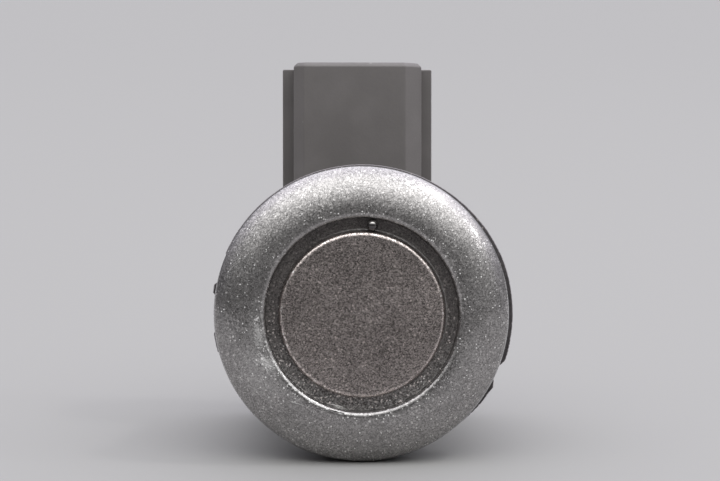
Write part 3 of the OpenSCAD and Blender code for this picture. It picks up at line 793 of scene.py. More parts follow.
def make_soft_finish():
    material, tree, shader = new_finish("sprayed_silicone", (0.15, 0.14, 0.135), roughness=0.55,
                                        metallic=SOFT_METAL)
    parts = parts_of(tree, place_of(tree))
    height = parts["Z"]
    # painted glints: the flakes flash more towards the bottom, where the groove isn't shaded
    flashes = ramp(tree, height, DUST_AND_LIGHT_STARTS, DUST_AND_LIGHT_FULL, to_low=0.8, to_high=7.0)
    flakes = use_group(tree, metal_flakes, {"Flake Size": 0.08 * MM, "Tilt": 0.5, "Contrast": 0.9,
                                            "Flashes": flashes})
    cloud = clouds(tree, scale=8000.0, detail=4.0)
    # dust, and painted light: specks and a pale film grow towards the less shaded bottom
    dust_and_light_amount = ramp(tree, height, DUST_AND_LIGHT_STARTS, DUST_AND_LIGHT_FULL, to_low=0.08, to_high=0.45)
    specks = dots(tree, spacing=0.24, amount=dust_and_light_amount)
    thickness = ramp(tree, height, FILM_AND_LIGHT_STARTS, FILM_AND_LIGHT_FULL, to_low=0.03, to_high=0.38)
    film_and_light = times(tree, ramp(tree, cloud, 0.35, 0.7), thickness)
    scratches = any_mark(tree, FLOOR_SCRATCHES, ragged=1.0, grain=5000.0)
    dusty = larger(tree, larger(tree, specks, film_and_light), scratches)
    # painted highlight beside the cup, only where the floor faces up and to the right
    beside = ramp(tree, off_axis(tree), (POT_R + CUP_RISE) * MM, (POT_R + CUP_EDGE_HIGHLIGHT_INNER * CUP_RISE) * MM)
    cup_edge_highlight = times(tree, beside, ramp(tree, plus(tree, parts["X"], height), CUP_EDGE_HIGHLIGHT_STARTS, CUP_EDGE_HIGHLIGHT_FULL))
    colour = blend(tree, ramp(tree, cloud, 0.35, 0.65), SOFT_DARK, SOFT_PALE)
    colour = blend(tree, dusty, scaled(tree, colour, flakes["Shade"]), PALE_DUST)
    metal = times(tree, minus(tree, 1.0, dusty), SOFT_METAL)
    dull = ramp(tree, cloud, 0.3, 0.7, to_low=0.48, to_high=0.66)
    fill(tree, shader, {
        "Base Color": blend(tree, times(tree, cup_edge_highlight, CUP_EDGE_HIGHLIGHT_WEIGHT), colour, CUP_EDGE_HIGHLIGHT),
        "Metallic": larger(tree, metal, times(tree, cup_edge_highlight, CUP_EDGE_HIGHLIGHT_METAL)),
        "Roughness": minus(tree, dull, times(tree, cup_edge_highlight, CUP_EDGE_HIGHLIGHT_SMOOTHER)),
        "Normal": bump(tree, plus(tree, cloud, specks), strength=0.3, depth=0.03, normal=flakes["Normal"]),
    })
    return material


soft_finish = make_soft_finish()
print("finish:", soft_finish.name)

# %% [markdown]
# ## Finish of the nub
#
# A small nub stands in the groove near the top. It is smooth and glossy, and its upper side is painted
# pale as a highlight. The floor's finish could cover it too, but the floor is dull and the nub isn't, so
# it has a finish of its own.

# %% Finish of the nub
NUB_DARK, NUB_PALE = (0.05, 0.046, 0.046, 1), (0.08, 0.074, 0.073, 1)
NUB_PAINTED_HIGHLIGHT = (0.62, 0.6, 0.58, 1)
NUB_HIGHLIGHT_STARTS, NUB_HIGHLIGHT_FULL = 7.6 * MM, 7.76 * MM


def make_nub_finish():
    material, tree, shader = new_finish("glossy_nub", (0.12, 0.112, 0.11), roughness=0.16, metallic=0.9)
    cloud = clouds(tree, scale=4000.0, detail=4.0)
    colour = blend(tree, ramp(tree, cloud, 0.3, 0.7), NUB_DARK, NUB_PALE)
    # painted highlight: the nub's upper side is paler
    painted_top = ramp(tree, parts_of(tree, place_of(tree))["Z"], NUB_HIGHLIGHT_STARTS, NUB_HIGHLIGHT_FULL)
    fill(tree, shader, {
        "Base Color": blend(tree, painted_top, colour, NUB_PAINTED_HIGHLIGHT),
        "Roughness": ramp(tree, cloud, 0.3, 0.7, to_low=0.12, to_high=0.24),
        "Coat Weight": 1.0,
    })
    return material


nub_finish = make_nub_finish()
print("finish:", nub_finish.name)

# %% [markdown]
# ## Soft ring
#
# The soft ring is turned like the others, with the pocket that grips the cup's collar inside. Its floor
# could be flat, but it rises in a small curve where it is squeezed against the cup and the lip. The nub
# is a stub with a round end, turned on the axis and then moved to its place in the groove.

# %% Soft ring
SLEEVE_R, SLEEVE_BACK, SLEEVE_HOLE_R = 8.9, POT_BACK + 0.8, 5.8
FLOOR_R, LIP_RISE = LIP_R - 0.02, 0.1
NUB_R, NUB_H, NUB_SUNK, NUB_STEPS = 0.47, 1.1, 0.1, 48
NUB_AT, NUB_TURN = 7.535, math.radians(6.6)


def make_soft_ring():
    pen = ProfilePen(POT_R, GROOVE_Y - CUP_RISE)
    pen.arc(POT_R + CUP_RISE, GROOVE_Y - CUP_RISE, -90, 7).line(FLOOR_R - LIP_RISE, GROOVE_Y)
    pen.arc(FLOOR_R - LIP_RISE, GROOVE_Y - LIP_RISE, -90, 4).line(FLOOR_R, POCKET_Y)
    pen.line(SLEEVE_R, POCKET_Y).line(SLEEVE_R, SLEEVE_BACK).line(SLEEVE_HOLE_R, SLEEVE_BACK)
    pen.line(SLEEVE_HOLE_R, POT_BACK).line(COLLAR_R, POT_BACK).line(COLLAR_R, COLLAR_Y)
    pen.line(POT_R, COLLAR_Y).close()
    finish_piece("soft_ring", pen.turn(), ["decoupling_ring"], soft_finish)


def make_nub():
    foot = GROOVE_Y + NUB_SUNK
    pen = ProfilePen(0, GROOVE_Y - NUB_H)
    pen.arc(0, GROOVE_Y - NUB_H + NUB_R, 90, 12).line(NUB_R, foot).line(0, foot)
    bm = pen.turn(NUB_STEPS)
    spot = Vector((NUB_AT * math.sin(NUB_TURN), 0, NUB_AT * math.cos(NUB_TURN))) * MM
    bmesh.ops.translate(bm, vec=spot, verts=bm.verts)
    finish_piece("locating_nub", bm, ["decoupling_ring"], nub_finish)


make_soft_ring()
make_nub()

# %% [markdown]
# ## Rubber of the seal
#
# A thin seal of soft black rubber lies behind the ring. It is dull and a little dusty. Its torn corner
# is painted paler, partly for the wear of the tear and partly as a painted highlight where the corner
# catches the light. A band at some distance from the axis could be made paler, but the corner is
# ragged, so the corner's own points carry a value, and the finish reads it as an attribute.

# %% Rubber of the seal
RUBBER_DARK, RUBBER_PALE = (0.02, 0.017, 0.018, 1), (0.06, 0.052, 0.054, 1)
TORN_CORNER_AND_HIGHLIGHT, RUBBER_DUST = (0.3, 0.275, 0.285, 1), (0.2, 0.18, 0.17, 1)


def make_seal_finish():
    material, tree, shader = new_finish("torn_rubber", (0.03, 0.025, 0.026), roughness=0.6)
    cloud = clouds(tree, scale=2500.0, detail=5.0)
    colour = blend(tree, ramp(tree, cloud, 0.35, 0.7), RUBBER_DARK, RUBBER_PALE)
    edge = add(tree, "Attribute", {}, attribute_name="torn_corner_and_highlight").outputs["Fac"]
    # the corner is paler: wear of the tear, and a painted highlight
    paler = ramp(tree, edge, 0.55, 1.0, to_high=0.8)
    colour = blend(tree, paler, colour, TORN_CORNER_AND_HIGHLIGHT)
    fill(tree, shader, {
        "Base Color": blend(tree, dots(tree, spacing=0.4, amount=0.15), colour, RUBBER_DUST),
        "Roughness": ramp(tree, cloud, 0.3, 0.7, to_low=0.5, to_high=0.75),
        "Normal": bump(tree, cloud, strength=0.5, depth=0.05),
    })
    return material


seal_rubber = make_seal_finish()
print("finish:", seal_rubber.name)

# %% [markdown]
# ## Tear of the seal
#
# The seal is torn, as happens when a sensor is pulled out of its bumper, so a dark, ragged edge shows
# past the paint at the right and in a few other places. Noise alone could fray it, but the large tears
# have their places, so a short table gives how far the edge stands out, and noise adds the rags.

# %% Tear of the seal
TORN_STARTS = -60
# degrees anticlockwise from the right, seen from the front, and how far the seal stands past the ring there
TORN = [(-60, -0.15), (-53, -0.15), (-51, 0.06), (-46, 0.19), (-42, 0.25), (-37, 0.34),
        (-33, 0.36), (-31, 0.43), (-29.6, 0.47), (-28.4, 0.36), (-27.4, 0.27), (-26.4, 0.15),
        (-25.2, 0.08), (-23.6, 0.14), (-22.4, 0.18), (-21.2, 0.12), (-20.2, 0.26), (-18.8, 0.42),
        (-17.2, 0.49), (-14.5, 0.49), (-9, 0.46), (20, 0.44), (45, 0.27), (62, 0.18),
        (100, 0.13), (156, 0.1), (158, -0.15), (167, -0.15), (169, 0.25), (172, 0.22),
        (174, -0.15), (186, -0.15), (188, 0.16), (195, 0.14), (197, -0.15), (300, -0.15)]
RAGGED_BELOW, RAGS, FEWER_RAGS = -8, 0.09, 0.03
FINE_REACH, SWING_REACH = 0.01, 0.02
# how often the noise turns, per degree and per metre of depth, and its seed
FINE, SWING = (1.4, 1500, 7.0), (0.25, 900, 2.0)


def rag_noise(degrees, y, numbers):
    per_degree, per_metre, seed = numbers
    return noise.noise(Vector((degrees * per_degree, y * per_metre, seed)))


def torn_reach(degrees, y):
    fine, swing = rag_noise(degrees, y, FINE), rag_noise(degrees, y, SWING)
    rags = RAGS if degrees < RAGGED_BELOW else FEWER_RAGS
    for (start, low), (end, high) in zip(TORN, TORN[1:]):
        if start <= degrees <= end:
            reach = low + (high - low) * (degrees - start) / (end - start)
            return reach + SWING_REACH * swing + rags * min(fine, 0.0) + FINE_REACH * fine


print("the seal stands out by up to %.2f mm" % max(reach for degrees, reach in TORN))

# %% [markdown]
# ## Torn seal
#
# A ragged outline could be extruded, but the seal is round first and torn later, and it is made that
# way: it is spun in fine steps, and the points of its edge are then drawn out or in. The points of its
# bevelled corner also get the value that paints the corner paler, for wear and as a painted highlight.

# %% Torn seal
SEAL_IN, SEAL_OUT = SKIRT_R + 0.05, RING_R - 0.15
SEAL_FRONT, SEAL_T, SEAL_BEVEL, SEAL_HEM = 0.02, 0.8, 0.1, 0.3
SEAL_CORNER = SEAL_FRONT + SEAL_BEVEL
EDGE_HEIGHTS = [SEAL_CORNER, 0.25, 0.55, SEAL_T]
SEAL_STEPS = 720


def make_torn_seal():
    pen = ProfilePen(SEAL_IN, SEAL_FRONT)
    pen.line(SEAL_OUT - SEAL_HEM, SEAL_FRONT).line(SEAL_OUT - SEAL_BEVEL, SEAL_FRONT)
    for y in EDGE_HEIGHTS:
        pen.line(SEAL_OUT, y)
    pen.line(SEAL_OUT - SEAL_HEM, SEAL_T).line(SEAL_IN, SEAL_T).close()
    bm = pen.turn(SEAL_STEPS)
    edge = bm.verts.layers.float.new("torn_corner_and_highlight")
    for v in bm.verts:
        r = math.hypot(v.co.x, v.co.z)
        if r > (SEAL_OUT - 2 * SEAL_BEVEL) * MM:
            v[edge] = 1.0 if abs(v.co.y - SEAL_CORNER * MM) < SAME_POINT else 0.5
            degrees = (math.degrees(math.atan2(v.co.z, v.co.x)) - TORN_STARTS) % 360 + TORN_STARTS
            target = r + (RING_R - SEAL_OUT + torn_reach(degrees, v.co.y)) * MM
            v.co.x, v.co.z = v.co.x * target / r, v.co.z * target / r
    finish_piece("torn_seal", bm, ["bezel_gasket"], seal_rubber, smooth_angle=60)


make_torn_seal()

# %% [markdown]
# ## Plastic
#
# The body and the cover are black plastic with glass in it. It looks dull and slightly cloudy, its skin
# has a fine grain, and some dust sticks to it. A flat black would look like a shadow, so a slow cloud
# shifts the colour and a fine one drives both the roughness and a bump.

# %% Plastic
DUSTY_PLASTIC, DUST_WEIGHT = (0.35, 0.34, 0.33, 1), 0.3


def make_plastic(name, colour, paler, roughness):
    material, tree, shader = new_finish(name, colour, roughness)
    grain = clouds(tree, scale=6000.0, detail=3.0)
    shift = ramp(tree, clouds(tree, scale=300.0, detail=6.0), 0.3, 0.75)
    tint = blend(tree, shift, (*colour, 1), (*paler, 1))
    dusty = times(tree, dots(tree, spacing=0.6, amount=0.12), DUST_WEIGHT)
    fill(tree, shader, {
        "Base Color": blend(tree, dusty, tint, DUSTY_PLASTIC),
        "Roughness": ramp(tree, grain, 0.3, 0.7, to_low=roughness - 0.07, to_high=roughness + 0.1),
        "Normal": bump(tree, grain, strength=0.35, depth=0.03),
    })
    return material


body_plastic = make_plastic("body_moulding", (0.145, 0.135, 0.131), (0.168, 0.157, 0.153), roughness=0.55)
cover_plastic = make_plastic("cover_moulding", (0.085, 0.081, 0.08), (0.11, 0.105, 0.103), roughness=0.5)
print("finishes:", body_plastic.name, cover_plastic.name)

# %% [markdown]
# ## Barrel of the body
#
# The body is one black moulding: a barrel, the plug socket that stands up behind the ring, two snap
# arms and a few ribs. The barrel could be a tube, but it is turned like the ring, with the bore for the
# soft ring in front, a wall in the middle, the drum for the electronics behind, and the bead that snaps
# into the ring's skirt.

# %% Barrel of the body
BORE_R, BAY_R = 8.95, 8.2
WALL_T, BAY_LEN = 1.2, 7.2
BOARD_T, POTTING_T, COVER_T = 1.0, 1.6, 1.2
BAY_Y = SLEEVE_BACK + WALL_T
BOARD_Y = BAY_Y + BAY_LEN
BACK_Y = BOARD_Y + BOARD_T + POTTING_T + COVER_T
SNAP_BEAD_HALF, BREAK, BACK_ROUND = 0.45, 0.1, 0.4
BARREL_STEPS = 192


def add_to(whole, bm):
    """Adds one closed shape to the moulding."""
    mesh = bpy.data.meshes.new("shape")
    bm.to_mesh(mesh)
    bm.free()
    whole.from_mesh(mesh)
    bpy.data.meshes.remove(mesh)


def make_barrel():
    bead_r, bead_half = BODY_R + SNAP_DEPTH, SNAP_BEAD_HALF - SNAP_DEPTH
    pen = ProfilePen(0, SLEEVE_BACK)
    pen.line(BORE_R, SLEEVE_BACK).line(BORE_R, POCKET_Y + BREAK).line(BORE_R + BREAK, POCKET_Y)
    pen.line(BODY_R - BREAK, POCKET_Y).line(BODY_R, POCKET_Y + BREAK).line(BODY_R, SNAP_Y - SNAP_BEAD_HALF)
    pen.line(bead_r, SNAP_Y - bead_half).line(bead_r, SNAP_Y + bead_half)
    pen.line(BODY_R, SNAP_Y + SNAP_BEAD_HALF).line(BODY_R, BACK_Y - BACK_ROUND)
    pen.arc(BODY_R - BACK_ROUND, BACK_Y - BACK_ROUND, 90, 6)
    pen.line(BORE_R + BREAK, BACK_Y).line(BORE_R, BACK_Y - BREAK).line(BORE_R, BOARD_Y)
    pen.line(BAY_R, BOARD_Y).line(BAY_R, BAY_Y).line(0, BAY_Y)
    return pen.turn(BARREL_STEPS)


moulding = bmesh.new()
add_to(moulding, make_barrel())
print("barrel: %d faces" % len(moulding.faces))

# %% [markdown]
# ## Straight shapes
#
# Everything else on the body is an outline with a straight depth. Boxes could be pushed together, but
# these outlines have slopes, so each is drawn corner by corner, extruded, and given the small round
# that a mould leaves on every edge.

# %% Straight shapes
ACROSS, UP = Vector((1, 0, 0)), Vector((0, 0, 1))
SHARP_FROM = math.radians(20)


def extruded(outline, start, lift, direction):
    """An outline in millimetres, square to a direction (+X or +Z) at start and extruded along it by lift."""
    bm = bmesh.new()
    corners = [Vector((start, a, b)) if direction == ACROSS else Vector((a, b, start)) for a, b in outline]
    face = bm.faces.new([bm.verts.new(corner * MM) for corner in corners])
    made = bmesh.ops.extrude_face_region(bm, geom=[face])["geom"]
    lifted = [g for g in made if isinstance(g, bmesh.types.BMVert)]
    bmesh.ops.translate(bm, vec=direction * lift * MM, verts=lifted)
    bmesh.ops.recalc_face_normals(bm, faces=bm.faces)
    return bm


def round_edges(bm, offset, above=-math.inf):
    """Rounds the sharp edges of a shape, except those that lie in its foot."""
    sharp = [e for e in bm.edges if len(e.link_faces) == 2 and e.calc_face_angle() > SHARP_FROM
             and max(v.co.z for v in e.verts) > above * MM]
    bmesh.ops.bevel(bm, geom=sharp, offset=offset * MM, offset_type="OFFSET", segments=2, profile=0.5,
                    affect="EDGES", material=-1, clamp_overlap=True)
    return bm


print("edges sharper than %.0f degrees get a round" % math.degrees(SHARP_FROM))

# %% [markdown]
# ## Rails, gussets and lock nose
#
# Two rails flank the plug socket, two gussets brace it in front, and a nose at its back locks the plug.
# Each could be a piece of its own, but in the mould they are one with the body, so their feet sink into
# its walls and no join shows.

# %% Rails, gussets and lock nose
PIN_Y = BOARD_Y - 1.5
SOCKET_W, SOCKET_D, SOCKET_H, SOCKET_WALL = 8.9, 5.8, 11.8, 1.3
SOCKET_FLOOR = BORE_R + 1.2
TOWER_HALF, TOWER_TOP = SOCKET_W / 2 + SOCKET_WALL, SOCKET_FLOOR + SOCKET_H
TOWER_FRONT, TOWER_BACK = PIN_Y - SOCKET_D / 2 - SOCKET_WALL, PIN_Y + SOCKET_D / 2 + SOCKET_WALL
GUSSET_X = 2.8
RAIL_ROUND, RIB_ROUND, NOSE_ROUND = 0.15, 0.12, 0.1


def make_rail(side):
    sunk, wide, half_depth, foot, top = 0.4, 1.0, 1.3, 7.3, TOWER_TOP - 0.5
    near, far = side * (TOWER_HALF - sunk), side * (TOWER_HALF + wide)
    front, back = PIN_Y - half_depth, PIN_Y + half_depth
    outline = [(near, front), (far, front), (far, back), (near, back)]
    return round_edges(extruded(outline, foot, top - foot, UP), RAIL_ROUND)


def make_gusset(x):
    thick, foot, top, sunk, toe = 1.0, 9.2, RING_R - 0.8, 0.5, TOWER_FRONT - 2.4
    outline = [(TOWER_FRONT + sunk, foot), (TOWER_FRONT + sunk, top), (TOWER_FRONT, top),
               (toe, BODY_R - sunk), (toe, foot)]
    return round_edges(extruded(outline, x - thick / 2, thick, ACROSS), RIB_ROUND)


def make_lock_nose():
    wide, sunk, nose, slope, high = 4.4, 0.5, 1.0, 1.9, 2.4
    top, inside, outside = TOWER_TOP - 2.2, TOWER_BACK - sunk, TOWER_BACK + nose
    outline = [(inside, top), (TOWER_BACK, top), (outside, top - slope), (outside, top - high),
               (inside, top - high)]
    return round_edges(extruded(outline, -wide / 2, wide, ACROSS), NOSE_ROUND)


for shape in [make_rail(-1), make_rail(1), make_gusset(-GUSSET_X), make_gusset(GUSSET_X), make_lock_nose()]:
    add_to(moulding, shape)
print("with rails, gussets and nose: %d faces" % len(moulding.faces))

# %% [markdown]
# ## Snap arms and key rib
#
# Two snap arms hold the sensor in its bumper: they give way as it is pushed in, and catch behind the
# bumper's skin. A rib below keeps it upright. An arm could be bent from a strip, but a moulded one is a
# wedge with a catch, so its outline is drawn once, and a change of sign gives the arm on the other
# side.

# %% Snap arms and key rib


def make_snap_arm(side):
    wide, catch_y, catch_deep, catch_flat = 5.0, 3.5, 1.0, 0.7
    catch_x, inside = BODY_R + 1.7, BODY_R - 0.6
    root_front, root_back = 9.6, 11.1
    outline = [(catch_x - catch_deep, catch_y), (catch_x, catch_y), (catch_x, catch_y + catch_flat),
               (BODY_R + 0.1, root_back), (inside, root_back), (inside, root_front), (BODY_R, root_front)]
    return round_edges(extruded([(side * x, y) for x, y in outline], -wide / 2, wide, UP), RIB_ROUND)


def make_key_rib():
    half, front, low, high = 1, 3.5, -BODY_R - 0.5, 1.0
    outline = [(-half, front), (half, front), (half, BAY_Y), (-half, BAY_Y)]
    return round_edges(extruded(outline, low, high, UP), RIB_ROUND)


for shape in [make_snap_arm(-1), make_snap_arm(1), make_key_rib()]:
    add_to(moulding, shape)
print("with arms and key rib: %d faces" % len(moulding.faces))

# %% [markdown]
# ## Tower of the plug socket
#
# The socket is a tower with bevelled corners, the largest of them at the right front. A box with bevels
# would do, but the corners differ, so the outline is drawn with them, extruded, and drawn in at the top
# by an inset that also rises, which is the top's bevel.

# %% Tower of the plug socket
LEFT_BEVEL, RIGHT_BEVEL, REAR_BEVEL, TOP_BEVEL = 0.9, 1.5, 0.6, 0.35
TOWER_ROUND, FOOT_Z = 0.1, 6.0


def tower_outline():
    return [(LEFT_BEVEL - TOWER_HALF, TOWER_FRONT), (TOWER_HALF - RIGHT_BEVEL, TOWER_FRONT),
            (TOWER_HALF, TOWER_FRONT + RIGHT_BEVEL), (TOWER_HALF, TOWER_BACK - REAR_BEVEL),
            (TOWER_HALF - REAR_BEVEL, TOWER_BACK), (REAR_BEVEL - TOWER_HALF, TOWER_BACK),
            (-TOWER_HALF, TOWER_BACK - REAR_BEVEL), (-TOWER_HALF, TOWER_FRONT + LEFT_BEVEL)]


def make_tower():
    bm = extruded(tower_outline(), FOOT_Z, TOWER_TOP - TOP_BEVEL - FOOT_Z, UP)
    top = max(bm.faces, key=lambda f: f.calc_center_median().z)
    bmesh.ops.inset_region(bm, faces=[top], thickness=TOP_BEVEL * MM, depth=TOP_BEVEL * MM,
                           use_even_offset=True)
    return round_edges(bm, TOWER_ROUND, above=FOOT_Z + 1)


tower = make_tower()
print("tower: %d faces, still solid" % len(tower.faces))

# %% [markdown]
# ## Hollow of the plug socket
#
# A plug slides into a deep hollow with a key slot. Cutting it out would leave a ragged mesh, so it is
# grown: the tower's top is opened and filled up to the mouth, and the mouth's loop of edges is extruded
# downwards, first for the mouth's bevel, then to the foot of the key slot, then to the floor.

# %% Hollow of the plug socket
MOUTH_BEVEL = 0.2
HEIGHT_DIGITS = 7
KEY_HALF, KEY_DEPTH = 0.8, 0.6
SLOT_Z = SOCKET_FLOOR + SOCKET_H / 4


def mouth_outline(out):
    half, front, back = SOCKET_W / 2 + out, PIN_Y - SOCKET_D / 2, PIN_Y + SOCKET_D / 2 + out
    near, slot = front - out, front - KEY_DEPTH
    return [(-half, near), (-KEY_HALF, near), (-KEY_HALF, slot), (KEY_HALF, slot), (KEY_HALF, near),
            (half, near), (half, back), (-half, back)]


def edges_round(bm, loop):
    return [bm.edges.get(pair) or bm.edges.new(pair) for pair in zip(loop, loop[1:] + loop[:1])]


def step_down(bm, loop, outline, z):
    """Extrudes a loop of edges and moves the new one to an outline at height z."""
    made = bmesh.ops.extrude_edge_only(bm, edges=edges_round(bm, loop))["geom"]
    new = [g for g in made if isinstance(g, bmesh.types.BMVert)]
    following = [min(new, key=lambda v: (v.co - old.co).length) for old in loop]
    for v, (x, y) in zip(following, outline):
        v.co = Vector((x, y, z)) * MM
    return following


def open_tower(bm):
    top = max(bm.faces, key=lambda f: (round(f.calc_center_median().z, HEIGHT_DIGITS), f.calc_area()))
    rim = list(top.edges)
    bmesh.ops.delete(bm, geom=[top], context="FACES_ONLY")
    mouth = [bm.verts.new(Vector((x, y, TOWER_TOP)) * MM) for x, y in mouth_outline(MOUTH_BEVEL)]
    bmesh.ops.triangle_fill(bm, edges=rim + edges_round(bm, mouth), use_beauty=True, use_dissolve=False)
    inner = mouth_outline(0)
    loop = step_down(bm, mouth, inner, TOWER_TOP - MOUTH_BEVEL)
    loop = step_down(bm, loop, inner, SLOT_Z)
    bm.faces.new(loop[1:5])
    bm.faces.new(step_down(bm, loop[:2] + loop[4:], inner[:2] + inner[4:], SOCKET_FLOOR))


open_tower(tower)
print("tower with its hollow: %d faces" % len(tower.faces))

# %% [markdown]
# ## Foot of the tower
#
# The tower grows out of the round barrel. A flat foot would reach through the wall into the drum, so
# the foot is cut into strips, one every millimetre, and laid on a curve inside the barrel's wall.

# %% Foot of the tower
FOOT_R, FOOT_SLACK = 9.6, 0.01
STRIP_CUTS = range(-5, 6)


def lay_foot(bm):
    for x in STRIP_CUTS:
        bmesh.ops.bisect_plane(bm, geom=bm.verts[:] + bm.edges[:] + bm.faces[:], plane_co=(x * MM, 0, 0),
                               plane_no=ACROSS, dist=SAME_POINT)
    for v in bm.verts:
        if v.co.z < (FOOT_Z + FOOT_SLACK) * MM:
            v.co.z = math.sqrt((FOOT_R * MM) ** 2 - v.co.x ** 2)


lay_foot(tower)
bmesh.ops.recalc_face_normals(tower, faces=tower.faces)
print("tower with its foot: %d faces" % len(tower.faces))

# %% [markdown]
# ## Moulded body
#
# The barrel, the ribs and the tower make one moulding. A boolean could weld them into one skin, but it
# leaves slivers along every join, so the closed shapes stay whole and overlap inside the walls.
# Weighted normals keep their flat faces flat beside the small rounds.

# %% Moulded body
add_to(moulding, tower)
open_edges = [e for e in moulding.edges if len(e.link_faces) != 2]
print("body with its plug socket: %d faces, %d open edges" % (len(moulding.faces), len(open_edges)))
moulded_body = finish_piece("moulded_body", moulding, ["housing"], body_plastic,
                            smooth_angle=40)
moulded_body.modifiers.new("flat_faces", "WEIGHTED_NORMAL").keep_sharp = True

# %% [markdown]
# ## Cover, terminals and hidden parts
#
# The rear cover, the terminals and the parts inside keep their CAD shapes, which are plain mouldings,
# wires and chips. Each still gets a finish of its own. Most differ only in a few numbers, so one
# function makes them from a table: two tints, how rough and how metallic they are, how fine their
# clouding is and how strong their grain.

# %% Hidden parts
FINISHES = {
    "piezo_disc": ("fired_ceramic", (0.52, 0.45, 0.3), (0.62, 0.55, 0.39), 0.6, 0.0, 1200, 0.3),
    "pot_seal": ("cast_silicone", (0.5, 0.49, 0.45), (0.6, 0.59, 0.55), 0.35, 0.0, 500, 0.15),
    "live_lead": ("red_insulation", (0.42, 0.022, 0.015), (0.5, 0.035, 0.022), 0.4, 0.0, 900, 0.1),
    "ground_lead": ("black_insulation", (0.018, 0.018, 0.019), (0.03, 0.03, 0.031), 0.4, 0.0, 900, 0.1),
    "potting": ("cast_resin", (0.03, 0.028, 0.027), (0.05, 0.047, 0.044), 0.28, 0.0, 250, 0.2),
    "driver_chip": ("chip_package", (0.025, 0.025, 0.028), (0.04, 0.04, 0.043), 0.6, 0.0, 4000, 0.5),
    "driver_chip_pins": ("tinned_leads", (0.52, 0.52, 0.5), (0.64, 0.64, 0.62), 0.3, 1.0, 2500, 0.1),
    "transformer_base": ("moulded_foot", (0.055, 0.048, 0.042), (0.075, 0.066, 0.058), 0.55, 0.0, 2500, 0.3),
    "transformer_core": ("drum_ferrite", (0.055, 0.055, 0.06), (0.09, 0.09, 0.096), 0.5, 0.1, 5000, 0.5),
    "transformer_shield": ("ring_ferrite", (0.05, 0.05, 0.055), (0.08, 0.08, 0.086), 0.5, 0.1, 5000, 0.5),
    "storage_capacitor": ("drawn_can", (0.48, 0.48, 0.5), (0.6, 0.6, 0.62), 0.33, 1.0, 1500, 0.12),
    "ceramic_capacitors": ("capacitor_ceramic", (0.3, 0.19, 0.1), (0.38, 0.26, 0.15), 0.45, 0.0, 3000, 0.25),
    "resistors": ("glazed_ceramic", (0.02, 0.02, 0.024), (0.035, 0.035, 0.04), 0.3, 0.0, 3000, 0.15),
    "solder_joints": ("solder", (0.46, 0.46, 0.47), (0.58, 0.58, 0.59), 0.28, 1.0, 1800, 0.3),
}


def make_clouded(name, colour, paler, roughness, metallic, scale, grain):
    material, tree, shader = new_finish(name, colour, roughness, metallic)
    cloud = clouds(tree, scale=scale, detail=5.0)
    fill(tree, shader, {
        "Base Color": blend(tree, ramp(tree, cloud, 0.35, 0.7), (*colour, 1), (*paler, 1)),
        "Roughness": ramp(tree, cloud, 0.3, 0.7, to_low=roughness - 0.06, to_high=roughness + 0.08),
        "Normal": bump(tree, clouds(tree, scale=9000.0, detail=3.0), strength=grain, depth=0.02),
    })
    return material


def dress(node, material):
    for slot in bpy.data.objects[node].material_slots:
        slot.material = material


dress("rear_cover", cover_plastic)
for node, numbers in FINISHES.items():
    dress(node, make_clouded(*numbers))
print("dressed from the table:", len(FINISHES))

# %% [markdown]
# ## Foam
#
# A pad of foam stops the disc from ringing on, and foam has open pores. They could be modelled as
# holes, but nobody sees the pad in the closed sensor, so a Voronoi pattern that darkens and dents the
# pores is enough.

# %% Foam
PORE, FOAM_WALL = (0.1, 0.1, 0.09, 1), (0.34, 0.34, 0.31, 1)


def make_foam():
    material, tree, shader = new_finish("open_foam", (0.3, 0.3, 0.27), roughness=0.9)
    pores = add(tree, "TexVoronoi", {"Vector": place_of(tree), "Scale": 3500.0}).outputs["Distance"]
    wall = ramp(tree, pores, 0.2, 0.6)
    fill(tree, shader, {
        "Base Color": blend(tree, wall, PORE, FOAM_WALL),
        "Normal": bump(tree, wall, strength=0.8, depth=0.1),
    })
    return material


dress("damping_pad", make_foam())
print("foam on damping_pad")

# %% [markdown]
# ## Wire
#
# The transformer's winding shows its turns of enamelled wire. A coil could be swept turn by turn, but
# the CAD solid already has its outer form, so waves along the drum stand for the turns.

# %% Wire
BETWEEN_TURNS, ENAMEL = (0.2, 0.07, 0.02, 1), (0.58, 0.25, 0.085, 1)


def make_winding():
    material, tree, shader = new_finish("enamelled_wire", (0.5, 0.2, 0.06), roughness=0.3, metallic=1.0)
    numbers = {"Vector": place_of(tree), "Scale": 2600.0, "Distortion": 0.6, "Detail": 1.0}
    turns = add(tree, "TexWave", numbers, bands_direction="Y").outputs["Fac"]
    fill(tree, shader, {
        "Base Color": blend(tree, turns, BETWEEN_TURNS, ENAMEL),
        "Normal": bump(tree, turns, strength=0.7, depth=0.05),
    })
    return material


dress("transformer_winding", make_winding())
print("wire on transformer_winding")

# %% [markdown]
# ## Board
#
# The circuit board has a green mask with paler copper traces under it. The traces could be drawn one by
# one, but they show no more than fields with square corners, so a Voronoi pattern that measures
# distance in squares makes them.

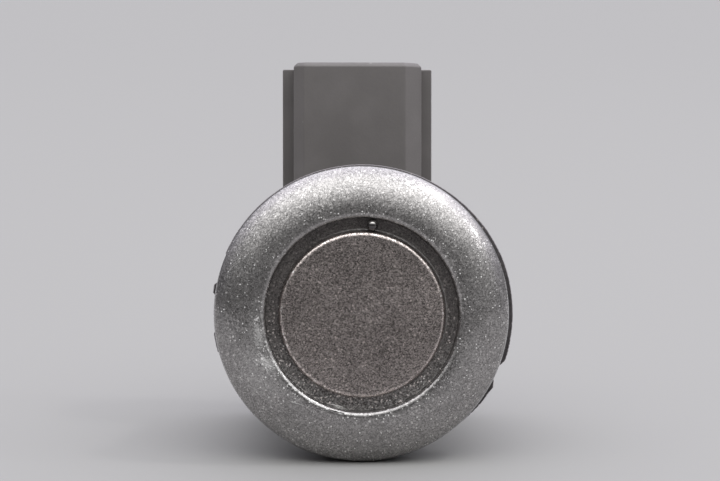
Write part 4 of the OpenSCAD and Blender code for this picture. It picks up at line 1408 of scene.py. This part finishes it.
# %% Board
OVER_COPPER, OVER_GLASS, WOVEN_GLASS = (0.02, 0.17, 0.065, 1), (0.01, 0.1, 0.038, 1), (0.02, 0.09, 0.04, 1)


def make_board():
    material, tree, shader = new_finish("solder_mask", (0.015, 0.12, 0.045), roughness=0.35)
    fields = add(tree, "TexVoronoi", {"Vector": place_of(tree), "Scale": 620.0}, distance="CHEBYCHEV")
    trace = ramp(tree, fields.outputs["Distance"], 0.3, 0.34)
    weave = clouds(tree, scale=3000.0, detail=3.0)
    mask = blend(tree, trace, OVER_COPPER, OVER_GLASS)
    woven = ramp(tree, weave, 0.3, 0.8, to_high=0.3)
    fill(tree, shader, {
        "Base Color": blend(tree, woven, mask, WOVEN_GLASS),
        "Roughness": ramp(tree, weave, 0.3, 0.7, to_low=0.28, to_high=0.45),
        "Normal": bump(tree, trace, strength=0.4, depth=-0.03),
    })
    return material


dress("circuit_board", make_board())
print("mask and traces on circuit_board")

# %% [markdown]
# ## Tinned terminals
#
# The terminals are stamped from tinned strip, with drawing marks along their length, and they can be
# seen deep in the socket. An anisotropic shader could smear their shine, but the marks are real
# streaks, so a noise that is stretched upwards draws them.

# %% Tinned terminals
STREAKS = (9000.0, 9000.0, 300.0)
TIN_DULL, TIN_BRIGHT = (0.46, 0.45, 0.43, 1), (0.64, 0.63, 0.6, 1)
TERMINALS = ["terminal_supply", "terminal_signal", "terminal_ground"]


def make_tin():
    material, tree, shader = new_finish("tinned_strip", (0.58, 0.57, 0.54), roughness=0.25, metallic=1.0)
    drawn = add(tree, "Mapping", {"Vector": place_of(tree), "Scale": STREAKS}).outputs[0]
    streaks = add(tree, "TexNoise", {"Vector": drawn, "Scale": 1.0, "Detail": 3.0}).outputs[0]
    fill(tree, shader, {
        "Base Color": blend(tree, ramp(tree, streaks, 0.3, 0.7), TIN_DULL, TIN_BRIGHT),
        "Roughness": ramp(tree, streaks, 0.3, 0.7, to_low=0.2, to_high=0.36),
        "Normal": bump(tree, streaks, strength=0.15, depth=0.01),
    })
    return material


tinned_strip = make_tin()
for node in TERMINALS:
    dress(node, tinned_strip)
print("tin on %d terminals" % len(TERMINALS))
